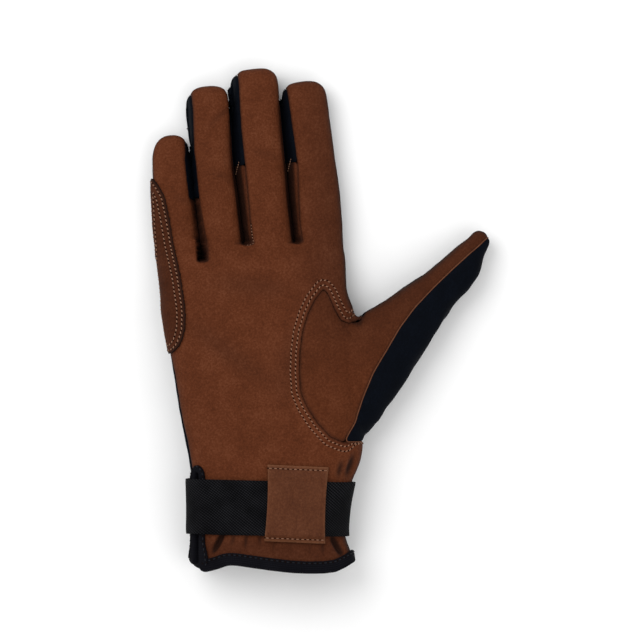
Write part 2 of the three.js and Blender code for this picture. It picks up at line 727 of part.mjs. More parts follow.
/** One tape folded over the hem and over both edges of the vent. */
function cuffBinding() {
  const layer = handSolid(-HEM_STACK).subtract(handSolid(WALL + HEM_STACK));
  const wall = handSolid(-CLEARANCE).subtract(handSolid(WALL + CLEARANCE))
    .intersect(pastHem(BINDING_THICKNESS))
    .subtract(ventSlot(slotHalf));
  const hem = layer.intersect(pastHem(0)).subtract(pastHem(BINDING_WIDTH));
  const vent = layer.intersect(pastHem(0)).intersect(ventSlot(VENT_BAND, ventTop + BINDING_THICKNESS));
  const open = ventSlot(VENT_SLIT / 2, ventTop - BINDING_WIDTH / 2);
  return mainBody(hem.add(vent).subtract(wall).subtract(open));
}

/** The elastic's loop, over the vent's binding. */
function wristElastic() {
  return mainBody(
    wristSolid(STRAP_STACK, ELASTIC_THICKNESS)
      .subtract(wristSolid(CLEARANCE, 0))
      .intersect(elasticZone(0)),
  );
}

/** The leather keeper, flat on the wrist at both ends and arched over the elastic. */
function elasticTab() {
  const cover = (offset) => {
    const overStrap = handSolid(-STRAP_STACK - offset).intersect(elasticZone(offset));
    return handSolid(-offset).add(overStrap);
  };
  const turn = degrees(TAB_TURN);
  const centre = point(handX(TAB_ACROSS), handY(TAB_AT));
  const outline = [[-1, -1], [1, -1], [1, 1], [-1, 1]].map(([across, along]) => point(
    (across * TAB_WIDTH) / 2, (along * TAB_LENGTH) / 2,
  ).rotateAround(point(0, 0), turn).add(centre));
  const layer = cover(CLEARANCE + TAB_THICKNESS).subtract(cover(CLEARANCE));
  return mainBody(layer.intersect(prism(outline, PALM_DEPTH / 2, FAR)));
}

/** A finish for one kind of piece. */
function finish(color, roughness) {
  return new THREE.MeshStandardMaterial({ color, roughness, metalness: 0 });
}

const leather = () => finish('#643622', 0.85);
const darkLeather = () => finish('#4c2a1e', 0.88);
const navyCloth = () => finish('#10131d', 0.9);
const elasticWeave = () => finish('#151518', 0.8);
const tape = () => finish('#17161c', 0.75);

/** A named mesh from a finished solid. */
function piece(name, solid, material) {
  const tidy = solid.simplify(FACET_TOLERANCE);
  const mesh = tidy.getMesh();
  const geometry = new THREE.BufferGeometry();
  geometry.setAttribute('position', new THREE.BufferAttribute(mesh.vertProperties, 3));
  geometry.setIndex(new THREE.BufferAttribute(mesh.triVerts, 1));
  geometry.computeVertexNormals();
  const made = new THREE.Mesh(geometry, material);
  made.name = name;
  return made;
}

const glove = new THREE.Group();
glove.add(
  piece('palm_leather', palmLeather, leather()),
  piece('back_fabric', backFabric, navyCloth()),
  piece('thumb_leather', thumbLeather, leather()),
  piece('thumb_fabric', thumbFabric, navyCloth()),
  piece('side_patch', sidePatch(), darkLeather()),
  piece('wrist_elastic', wristElastic(), elasticWeave()),
  piece('elastic_tab', elasticTab(), leather()),
  piece('cuff_binding', cuffBinding(), tape()),
);
for (const slit of slits) {
  const pair = `${slit.left.name}_${slit.right.name}`;
  glove.add(piece(`gusset_${pair}`, gusset(slit), leather()));
  for (const finger of [slit.left, slit.right]) {
    const side = finger === slit.left ? 'inner' : 'outer';
    glove.add(piece(`${finger.name}_${side}_strip`, sideStrip(slit, finger), navyCloth()));
  }
}

export default glove;
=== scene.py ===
import logging
import math
from dataclasses import dataclass
from enum import Enum
from typing import Callable, Sequence

import bmesh
import bpy
import numpy as np
from mathutils import Matrix, Vector, noise
from mathutils.bvhtree import BVHTree
from mathutils.kdtree import KDTree


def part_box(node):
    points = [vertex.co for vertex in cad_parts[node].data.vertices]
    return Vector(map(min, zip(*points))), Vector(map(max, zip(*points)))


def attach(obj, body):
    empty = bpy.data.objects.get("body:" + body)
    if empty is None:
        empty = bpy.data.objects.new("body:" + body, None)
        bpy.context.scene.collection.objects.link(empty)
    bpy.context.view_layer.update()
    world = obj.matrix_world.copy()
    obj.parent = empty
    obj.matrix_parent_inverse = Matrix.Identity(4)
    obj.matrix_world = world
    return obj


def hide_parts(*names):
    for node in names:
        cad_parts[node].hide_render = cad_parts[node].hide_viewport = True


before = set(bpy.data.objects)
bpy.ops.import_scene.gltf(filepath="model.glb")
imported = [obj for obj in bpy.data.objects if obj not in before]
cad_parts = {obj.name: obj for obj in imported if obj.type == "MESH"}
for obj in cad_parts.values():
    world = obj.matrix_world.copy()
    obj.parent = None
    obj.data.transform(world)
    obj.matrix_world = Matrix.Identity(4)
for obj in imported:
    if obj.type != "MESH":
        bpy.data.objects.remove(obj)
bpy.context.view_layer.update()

MM = 0.001
LOG = logging.getLogger("glove")

# Driving sizes of the hand, in metres
PALM_WIDTH = 92 * MM
PALM_DEPTH = 31 * MM
HAND_LENGTH = 162 * MM
PALM_CENTRE = 0.696
THUMB_LENGTH = 107 * MM
THUMB_WIDTH = 33 * MM
THUMB_DEPTH = 25 * MM
THUMB_ANGLE = math.radians(43.4)
THUMB_LIFT = 3.5 * MM
CUP_DEPTH = 4.5 * MM
GATHER_HEIGHT = 0.6 * MM
GATHER_COUNT = 8

# Walls, trims and gaps
WALL = 1.4 * MM
CLEARANCE = 0.3 * MM
PATCH_THICKNESS = 1.1 * MM
BINDING_THICKNESS = 1.1 * MM
ELASTIC_THICKNESS = 1.7 * MM
ELASTIC_SLANT = -0.02
TAB_THICKNESS = 1.5 * MM
TAB_WIDTH = 29.5 * MM
TAB_LENGTH = 37 * MM
TAB_TURN = math.radians(-2.5)
TAB_ACROSS = 0.22
TAB_AT = 0.207
VENT_ACROSS = -0.296
VENT_LENGTH = 50 * MM
STRAP_STACK = CLEARANCE + ELASTIC_THICKNESS
HEM_STACK = CLEARANCE + BINDING_THICKNESS
SLIT_HALF = 0.9 * MM
REST_GAP = 0.02 * MM

# Fineness
VOXEL = 0.8 * MM
FAIRING_STEPS = 36
SEAM_REACH = 8 * MM
WELD = 0.01 * MM
SEED = 7

# Sections of the hand, with the columns at, left, right, depth, rise, cup and ripple: at is a share
# of its length, left and right of the palm's width, depth of the palm's depth, rise a height in
# metres, cup and ripple shares of the cup and the gathers.
HAND = (
    (-0.035, -0.332, 0.53, 1.06, HEM_STACK, 0, 0.5),
    (0.035, -0.332, 0.522, 1.05, HEM_STACK, 0, 0.5),
    (0.078, -0.331, 0.498, 0.99, STRAP_STACK, 0, 1),
    (0.109, -0.332, 0.472, 0.95, STRAP_STACK, 0, 0.5),
    (0.196, -0.33, 0.485, 0.93, STRAP_STACK, 0, 0),
    (0.276, -0.333, 0.512, 0.97, STRAP_STACK, 0, 0),
    (0.325, -0.343, 0.557, 1, STRAP_STACK / 2, 0, 0),
    (0.387, -0.364, 0.571, 1.03, 0, 0.2, 0),
    (0.486, -0.399, 0.582, 1.06, 0, 0.55, 0),
    (0.603, -0.432, 0.576, 1.06, 0, 0.9, 0),
    (0.696, -0.458, 0.56, 1, 0, 1, 0),
    (0.78, -0.482, 0.53, 0.935, 0, 0.9, 0),
    (0.844, -0.488, 0.484, 0.87, 0, 0.55, 0),
    (0.912, -0.505, 0.487, 0.76, 0, 0.2, 0),
    (0.967, -0.515, 0.477, 0.63, 0, 0, 0),
    (1.0, -0.517, 0.47, 0.53, 0, 0, 0),
)

# Sections of the thumb, with the columns at, shift, width, depth and rise: at is a share of its
# length, shift and width of its width, depth of its depth and rise of its tip's lift.
THUMB = (
    (-0.07, 0.13, 1.16, 0.8, 0.85),
    (0.03, 0.165, 1.15, 1.02, 0.2),
    (0.159, 0.082, 1.163, 1.06, 0.1),
    (0.299, -0.005, 1.19, 1.02, 0.1),
    (0.422, 0.02, 0.99, 0.95, 0.2),
    (0.553, 0.029, 0.808, 0.86, 0.35),
    (0.677, 0.043, 0.635, 0.78, 0.5),
    (0.793, 0.07, 0.6, 0.69, 0.7),
    (0.85, 0.06, 0.545, 0.64, 0.8),
    (0.9, 0.035, 0.45, 0.58, 0.92),
    (0.955, -0.01, 0.275, 0.47, 1.0),
)
THUMB_BASE = (0.423, 0.531)
THUMB_DOME_FROM = 0.96
THUMB_TIP = 1.02
SOFT_SQUARE = 2.5
UNDER_FLAT = 1.14
DOME_ROUNDNESS = 0.85
TIP_THINNING = 0.12
ROOT_SINKING = 0.4
ROOT_SUNK_TO = 0.03
RING_STEPS = 96
DOME_STEPS = 14
DOME_TURN = 87.0

FORK_NODES = ("gusset_little_ring", "gusset_ring_middle", "gusset_middle_index")
SHELL_NODES = (
    "palm_leather", "back_fabric", "thumb_leather", "thumb_fabric", *FORK_NODES,
    "little_inner_strip", "ring_outer_strip", "ring_inner_strip",
    "middle_outer_strip", "middle_inner_strip", "index_outer_strip",
)


def hand_x(share: float) -> float:
    """A place across the palm."""
    return share * PALM_WIDTH


def hand_y(share: float) -> float:
    """A place along the hand."""
    return (share - PALM_CENTRE) * HAND_LENGTH


def smoothstep(value: np.ndarray, low: float, high: float) -> np.ndarray:
    """0 below low, 1 above high and smooth between them."""
    t = np.clip((value - low) / (high - low), 0, 1)
    return t * t * (3 - 2 * t)


def through(rows: np.ndarray, at: np.ndarray, soft: float = 0.035) -> np.ndarray:
    """Reads a table between its rows, with the corners at the rows rounded.

    Args:
        rows: The table, with the place of each row in its first column.
        at: The places to read.
        soft: How far each corner is rounded.

    Returns:
        The other columns at those places.
    """
    steps = np.linspace(-soft, soft, 11)
    weights = 1 - 0.8 * (steps / soft) ** 2
    read = [weight * np.stack([np.interp(at + step, rows[:, 0], rows[:, k])
                               for k in range(1, rows.shape[1])], axis=1)
            for step, weight in zip(steps, weights)]
    return sum(read) / weights.sum()


@dataclass
class Rings:
    """The sections of a soft tube, one value of each for every ring."""

    x: np.ndarray
    y: np.ndarray
    rise: np.ndarray
    width: np.ndarray
    depth: np.ndarray
    lean: float = 0.0
    cup: np.ndarray | float = 0.0
    ripple: np.ndarray | float = 0.0
    taper: np.ndarray | float = 1.0
    blunt: np.ndarray | float = 1.0

    def points(self, ring: np.ndarray, turn: np.ndarray) -> np.ndarray:
        """Finds places on the tube.

        Args:
            ring: The number of each place's ring.
            turn: Each place's turn round the ring, in radians.

        Returns:
            A row of x, y and z for each place.
        """
        def pick(value: np.ndarray | float) -> np.ndarray | float:
            """The value at each place's ring."""
            return value[ring] if isinstance(value, np.ndarray) else value

        roundness = 2 / SOFT_SQUARE
        across = np.sign(np.cos(turn)) * np.abs(np.cos(turn)) ** roundness
        up = np.sign(np.sin(turn)) * np.abs(np.sin(turn)) ** roundness
        pressed = np.where(up < 0, np.maximum(-1, up * UNDER_FLAT), up)
        hollow = np.where(up > 0, pick(self.cup) * (1 - across**2) ** 2, 0)
        gather = np.where(up > 0, pick(self.ripple) * up * np.sin(GATHER_COUNT * turn), 0)
        half_depth = pick(self.depth) / 2
        sideways = across * pick(self.width) / 2 * pick(self.blunt)
        return np.stack([
            pick(self.x) + math.cos(self.lean) * sideways,
            pick(self.y) - math.sin(self.lean) * sideways,
            pick(self.rise) + half_depth * (1 + pressed * pick(self.taper)) - hollow + gather,
        ], axis=1)


@dataclass
class Finger:
    """One finger's sizes: lengths in metres, places as shares of the palm and the hand."""

    name: str
    length: float
    width: float
    depth: float
    curl: float
    lean: float
    bow: float
    across: float
    root: float
    dome: float
    sections: tuple[tuple[float, float, float], ...]
    tip_square: float = 3.0

    @property
    def root_y(self) -> float:
        """Where the finger starts."""
        return hand_y(self.root)

    @property
    def tip_y(self) -> float:
        """Where the finger ends."""
        return self.root_y + self.length * math.cos(math.radians(self.lean))

    @property
    def dome_y(self) -> float:
        """Where its rounded tip starts."""
        return self.root_y + (self.tip_y - self.root_y) * (1 - self.dome)

    def share(self, y: np.ndarray) -> np.ndarray:
        """A height as a share of the finger."""
        return (y - self.root_y) / (self.tip_y - self.root_y)

    def middle(self, y: np.ndarray) -> np.ndarray:
        """The finger's middle line."""
        bend = self.bow * self.width * np.sin(np.pi * np.clip(self.share(y), 0, 1))
        return hand_x(self.across) + math.tan(math.radians(self.lean)) * (y - self.root_y) - bend

    def half(self, y: np.ndarray) -> np.ndarray:
        """Half the finger's width."""
        table = np.array(self.sections)
        return self.width * np.interp(self.share(y), table[:, 0], table[:, 1]) / 2

    def side(self, y: np.ndarray) -> np.ndarray:
        """How wide the side wall shows from the palm side."""
        table = np.array(self.sections)
        return self.width * np.interp(self.share(y), table[:, 0], table[:, 2])

    def rings(self) -> Rings:
        """Works out fine sections from below the root to the tip.

        Returns:
            The finger's rings.
        """
        table = np.array(self.sections)
        last = table[-1, 0]
        straight = np.linspace(table[0, 0], last, int(self.length / VOXEL))
        turn = np.radians(np.linspace(0, DOME_TURN, DOME_STEPS))[1:]
        at = np.concatenate([straight, last + (1 - last) * np.sin(turn)])
        taper = np.concatenate([np.ones(len(straight)), np.cos(turn) ** DOME_ROUNDNESS])
        blunt = np.concatenate([
            np.ones(len(straight)),
            (1 - np.sin(turn) ** self.tip_square) ** (1 / self.tip_square)])
        y = self.root_y + (self.tip_y - self.root_y) * at
        body = np.minimum(at, last)
        depth = self.depth * (1 - TIP_THINNING * np.maximum(0, body))
        sunk = ROOT_SINKING * self.depth * (1 - smoothstep(at, table[0, 0], ROOT_SUNK_TO))
        return Rings(
            x=self.middle(y), y=y, rise=self.curl * np.maximum(0, at) ** 2 + sunk / 2,
            width=self.width * through(table, body)[:, 0], depth=depth - sunk,
            lean=math.radians(self.lean), taper=taper, blunt=blunt,
        )


FINGERS = (
    Finger("little", 62.2 * MM, 21 * MM, 15 * MM, 2 * MM, -3.2, 0.035, -0.408, 0.93, 0.2,
           ((-0.25, 0.66, 0.02), (-0.08, 0.86, 0.02), (0.05, 0.96, 0.03), (0.37, 0.97, 0.05),
            (0.56, 0.94, 0.09), (0.8, 0.91, 0.12)), 2.4),
    Finger("ring", 77.8 * MM, 21.5 * MM, 16.5 * MM, 2.5 * MM, -5.6, 0.06, -0.17, 0.981, 0.17,
           ((-0.25, 0.8, 0.06), (0.06, 0.91, 0.07), (0.294, 0.955, 0.07), (0.47, 0.912, 0.07),
            (0.62, 0.94, 0.08), (0.83, 1.05, 0.16))),
    Finger("middle", 83.9 * MM, 24.5 * MM, 17.5 * MM, 2.5 * MM, -5.2, 0.05, 0.073, 0.996, 0.13,
           ((-0.25, 0.88, 0.12), (0.05, 0.965, 0.14), (0.243, 0.975, 0.18), (0.446, 1.01, 0.21),
            (0.69, 0.985, 0.18), (0.87, 0.965, 0.17))),
    Finger("index", 79.3 * MM, 24.5 * MM, 17 * MM, 2 * MM, -6.5, 0, 0.345, 0.986, 0.14,
           ((-0.25, 0.66, 0.1), (-0.08, 0.88, 0.1), (0.05, 0.98, 0.1), (0.276, 1.01, 0.17),
            (0.484, 0.98, 0.21), (0.7, 0.965, 0.18), (0.86, 0.93, 0.15))),
)


@dataclass
class Slit:
    """The gap between two neighbouring fingers.

    Below its lower end the palm's leather covers the fork's foot. Between the palm's and the back's
    faces the two side walls are closed, so that no light shows through.
    """

    left: Finger
    right: Finger
    spread: float = 1.8 * MM
    ramp: float = 12 * MM
    closed_from: tuple[float, float] = (2.6 * MM, 0.6 * MM)
    closed_past: float = 3 * MM
    closed_beside: tuple[float, float] = (0.8 * MM, 4 * MM)
    foot_below: float = 0.4 * MM
    foot_gain: float = 3.0
    palm_side: tuple[float, float] = (8 * MM, 12 * MM)
    shade_widths: tuple[float, float] = (0.9 * MM, 0.4 * MM)
    shade_soft: float = 0.9 * MM
    shade_start: tuple[float, float] = (-1 * MM, 0.3 * MM)
    shade_end: tuple[float, float] = (-1 * MM, 3 * MM)
    wall_below: float = 1.2 * MM

    @property
    def bottom(self) -> float:
        """Where the gap starts."""
        return min(self.left.root_y, self.right.root_y) + SLIT_HALF

    @property
    def fork_end(self) -> float:
        """Where the leather fork ends and the cloth starts."""
        return (self.short.root_y + self.short.tip_y) / 2

    @property
    def short(self) -> Finger:
        """The finger that ends first."""
        return self.left if self.left.tip_y < self.right.tip_y else self.right

    def line(self, y: np.ndarray) -> np.ndarray:
        """Finds the middle of the gap, which keeps beside the longer finger past the shorter tip.

        Args:
            y: Places along the hand.

        Returns:
            The x of the middle at each.
        """
        left = self.left.middle(y) + self.left.half(y)
        right = self.right.middle(y) - self.right.half(y)
        beyond = right - CLEARANCE if self.short is self.left else left + CLEARANCE
        return np.where(y < self.short.dome_y, (left + right) / 2, beyond)

    def half(self, y: np.ndarray) -> np.ndarray:
        """Half the gap's width."""
        rise = smoothstep(y, self.bottom, self.short.dome_y)
        return SLIT_HALF + (CLEARANCE - SLIT_HALF) * rise

    def wall(self, y: np.ndarray) -> np.ndarray:
        """Finds how far the fingers' sides lie from the middle of the gap.

        Args:
            y: Places along the hand.

        Returns:
            A distance for each.
        """
        left = self.left.middle(y) + self.left.half(y)
        right = self.right.middle(y) - self.right.half(y)
        return np.maximum(self.half(y), (right - left) / 2)

    def near(self, x: np.ndarray, y: np.ndarray) -> np.ndarray:
        """Tells the gap between the fingers from the rest of the hand.

        Args:
            x: Places across the hand.
            y: Places along the hand.

        Returns:
            1 in the gap and 0 away from it, smooth between them.
        """
        first, full = self.closed_from
        past, dome = self.closed_past, self.short.dome_y
        along = smoothstep(y, self.bottom - first, self.bottom - full) * (
            1 - smoothstep(y, dome - past, dome + past))
        low, high = (self.wall(y) + beside for beside in self.closed_beside)
        return along * (1 - smoothstep(np.abs(x - self.line(y)), low, high))

    def foot(self, places: np.ndarray) -> np.ndarray:
        """How much the palm's leather gains on the fork's below the gap, on the palm side."""
        below = np.clip(self.bottom - self.foot_below - places[:, 1], 0, None)
        return self.foot_gain * below * smoothstep(places[:, 2], *self.palm_side)

    def shade(self, x: np.ndarray, y: np.ndarray) -> np.ndarray:
        """Finds how much shade is painted into the narrow lower end of the gap.

        Args:
            x: Places across the hand.
            y: Places along the hand.

        Returns:
            A darkness from 0 to 1 for each place.
        """
        wide, narrow = self.shade_widths
        width = wide - (wide - narrow) * smoothstep(y, self.bottom, self.fork_end)
        low, high = (self.bottom + step for step in self.shade_start)
        last, gone = (self.fork_end + step for step in self.shade_end)
        along = smoothstep(y, low, high) * (1 - smoothstep(y, last, gone))
        away = np.abs(x - self.line(y))
        return along * (1 - smoothstep(away, width, width + self.shade_soft))

    def walls(self) -> tuple[tuple[Finger, float, float], ...]:
        """Lists the side walls that show from the palm side.

        Returns:
            For each its finger, the side it faces from and where it starts.
        """
        start = self.bottom - self.wall_below
        shown = ((self.right, 1.0, start),)
        return shown + (((self.left, -1.0, start),) if self.left.name == "little" else ())

    def opened(self, y: np.ndarray) -> np.ndarray:
        """How far the gap is held open while the surface is made."""
        return self.spread * smoothstep(y, self.bottom, self.bottom + self.ramp)


SLITS = tuple(Slit(left, right) for left, right in zip(FINGERS, FINGERS[1:]))
FIXED_FINGER = 1


def shift_of(number: int, y: np.ndarray) -> np.ndarray:
    """Finds how far a finger is moved aside while the surface is made.

    Args:
        number: The finger's number, from the little finger.
        y: Places along the hand.

    Returns:
        The move across at each place.
    """
    if number < FIXED_FINGER:
        return -sum(slit.opened(y) for slit in SLITS[number:FIXED_FINGER])
    return sum((slit.opened(y) for slit in SLITS[FIXED_FINGER:number]), np.zeros_like(y))


def mapped_grid(
    columns: int, rows: int, place: Callable[[np.ndarray, np.ndarray], np.ndarray],
    sizes: tuple[float, float] = (1.0, 1.0), closed: bool = False,
) -> bmesh.types.BMesh:
    """A grid whose corners are laid on a surface.

    Args:
        columns: Faces across.
        rows: Faces along.
        place: Gives positions for shares across and along.
        sizes: Real lengths that the texture map runs over.
        closed: Whether edges that meet are merged and open ends filled.

    Returns:
        The new mesh, with a texture map named weave.
    """
    mesh = bmesh.new()
    layer = mesh.loops.layers.uv.new("weave")
    bmesh.ops.create_grid(mesh, x_segments=columns, y_segments=rows, size=0.5)
    mesh.verts.ensure_lookup_table()
    flat = np.array([corner.co for corner in mesh.verts])[:, :2] + 0.5
    for face in mesh.faces:
        for loop in face.loops:
            loop[layer].uv = flat[loop.vert.index] * sizes
    for corner, target in zip(mesh.verts, place(flat[:, 0], flat[:, 1])):
        corner.co = target
    if closed:
        bmesh.ops.remove_doubles(mesh, verts=mesh.verts, dist=WELD)
        bmesh.ops.holes_fill(mesh, edges=[edge for edge in mesh.edges if edge.is_boundary])
        bmesh.ops.recalc_face_normals(mesh, faces=mesh.faces)
    return mesh


def tube(rings: Rings) -> bmesh.types.BMesh:
    """Makes a closed tube through its rings.

    Args:
        rings: The tube's sections.

    Returns:
        The tube's mesh.
    """
    last = len(rings.y) - 1

    def place(around: np.ndarray, along: np.ndarray) -> np.ndarray:
        """Where the grid's corners go on the tube."""
        return rings.points(np.rint(along * last).astype(int), around * 2 * np.pi)

    return mapped_grid(RING_STEPS, last, place, closed=True)


def hand_rings() -> Rings:
    """Works out fine sections of the hand from below the hem to the knuckles.

    Returns:
        The hand's rings.
    """
    table = np.array(HAND, float)
    at = np.linspace(table[0, 0], table[-1, 0], int(HAND_LENGTH / VOXEL))
    left, right, depth, rise, cup, ripple = through(table, at).T
    return Rings(
        x=hand_x((left + right) / 2), y=hand_y(at), rise=np.maximum(rise, 0),
        width=hand_x(right - left), depth=PALM_DEPTH * depth,
        cup=CUP_DEPTH * np.clip(cup, 0, 1), ripple=GATHER_HEIGHT * np.clip(ripple, 0, 1),
    )


def thumb_place(at: np.ndarray, shift: np.ndarray) -> tuple[np.ndarray, np.ndarray]:
    """Finds places along the thumb's line, moved crosswise towards the wrist.

    Args:
        at: Shares of the thumb's length.
        shift: Shares of its width.

    Returns:
        The x and the y of the places.
    """
    along, aside = at * THUMB_LENGTH, shift * THUMB_WIDTH
    return (
        hand_x(THUMB_BASE[0]) + math.sin(THUMB_ANGLE) * along + math.cos(THUMB_ANGLE) * aside,
        hand_y(THUMB_BASE[1]) + math.cos(THUMB_ANGLE) * along - math.sin(THUMB_ANGLE) * aside,
    )


def thumb_rings() -> Rings:
    """Works out fine sections of the thumb.

    Returns:
        The thumb's rings.
    """
    table = np.array(THUMB)
    straight = np.linspace(table[0, 0], table[-1, 0], int(THUMB_LENGTH / VOXEL))
    turn = np.radians(np.linspace(0, DOME_TURN, DOME_STEPS))[1:]
    at = np.concatenate([straight, THUMB_DOME_FROM + (THUMB_TIP - THUMB_DOME_FROM) * np.sin(turn)])
    taper = np.concatenate([np.ones(len(straight)), np.cos(turn) ** DOME_ROUNDNESS])
    shift, width, depth, rise = through(table, np.minimum(at, table[-1, 0])).T
    x, y = thumb_place(at, shift)
    return Rings(
        x=x, y=y, rise=THUMB_LIFT * rise, width=THUMB_WIDTH * width, depth=THUMB_DEPTH * depth,
        lean=THUMB_ANGLE, taper=taper, blunt=taper,
    )


def finished(name: str, source: bmesh.types.BMesh) -> bpy.types.Object:
    """Turns an edited mesh into a linked object at the origin, smooth shaded.

    Args:
        name: The object's name.
        source: The edited mesh, which is freed.

    Returns:
        The object.
    """
    mesh = bpy.data.meshes.new(name)
    source.to_mesh(mesh)
    source.free()
    mesh.polygons.foreach_set("use_smooth", np.ones(len(mesh.polygons), bool))
    made = bpy.data.objects.new(name, mesh)
    bpy.context.scene.collection.objects.link(made)
    return made


@dataclass
class Line:
    """A line on the skin: its points in order, with the skin's normals there."""

    points: np.ndarray
    normals: np.ndarray
    closed: bool

    def length(self) -> float:
        """The line's own length."""
        loop = np.vstack([self.points, self.points[:1]]) if self.closed else self.points
        return float(np.linalg.norm(np.diff(loop, axis=0), axis=1).sum())

    def even(self, step: float, fairing: int = 6) -> "Line":
        """Spaces the line's points evenly and smooths its small corners.

        Args:
            step: The distance from point to point.
            fairing: How many times it is smoothed.

        Returns:
            The new line.
        """
        points, normals = self.points.copy(), self.normals.copy()
        for _ in range(fairing):
            before, after = np.roll(points, 1, 0), np.roll(points, -1, 0)
            mixed = (before + after) / 4 + points / 2
            if not self.closed:
                mixed[[0, -1]] = points[[0, -1]]
            points = mixed
        if self.closed:
            points, normals = np.vstack([points, points[:1]]), np.vstack([normals, normals[:1]])
        run = np.concatenate([[0], np.cumsum(np.linalg.norm(np.diff(points, axis=0), axis=1))])
        count = max(2, int(round(run[-1] / step)))
        at = np.linspace(0, run[-1], count + 1)[: count if self.closed else count + 1]
        even = np.stack([np.interp(at, run, points[:, k]) for k in range(3)], 1)
        facing = np.stack([np.interp(at, run, normals[:, k]) for k in range(3)], 1)
        return Line(even, facing / np.linalg.norm(facing, axis=1)[:, None], self.closed)

    def frames(self) -> tuple[np.ndarray, np.ndarray]:
        """Finds how the line runs at each point.

        Returns:
            Directions along the line, and across it on the skin to the left.
        """
        if self.closed:
            ahead = np.roll(self.points, -1, 0) - np.roll(self.points, 1, 0)
        else:
            ahead = np.gradient(self.points, axis=0)
        ahead /= np.linalg.norm(ahead, axis=1)[:, None]
        aside = np.cross(self.normals, ahead)
        return ahead, aside / np.linalg.norm(aside, axis=1)[:, None]

    def part(self, keep: np.ndarray) -> "Line":
        """Takes one run of the line's points.

        Args:
            keep: Marks the points that may stay.

        Returns:
            The longest run of marked points.
        """
        if keep.all():
            return self
        points, normals, marks = self.points, self.normals, keep
        if self.closed:
            turn = int(np.flatnonzero(~keep)[0])
            points, normals, marks = (np.roll(a, -turn, 0) for a in (points, normals, keep))
        edges = np.flatnonzero(np.diff(np.concatenate([[0], marks.astype(int), [0]])))
        start, end = max(zip(edges[::2], edges[1::2]), key=lambda run: run[1] - run[0])
        return Line(points[start:end], normals[start:end], False)


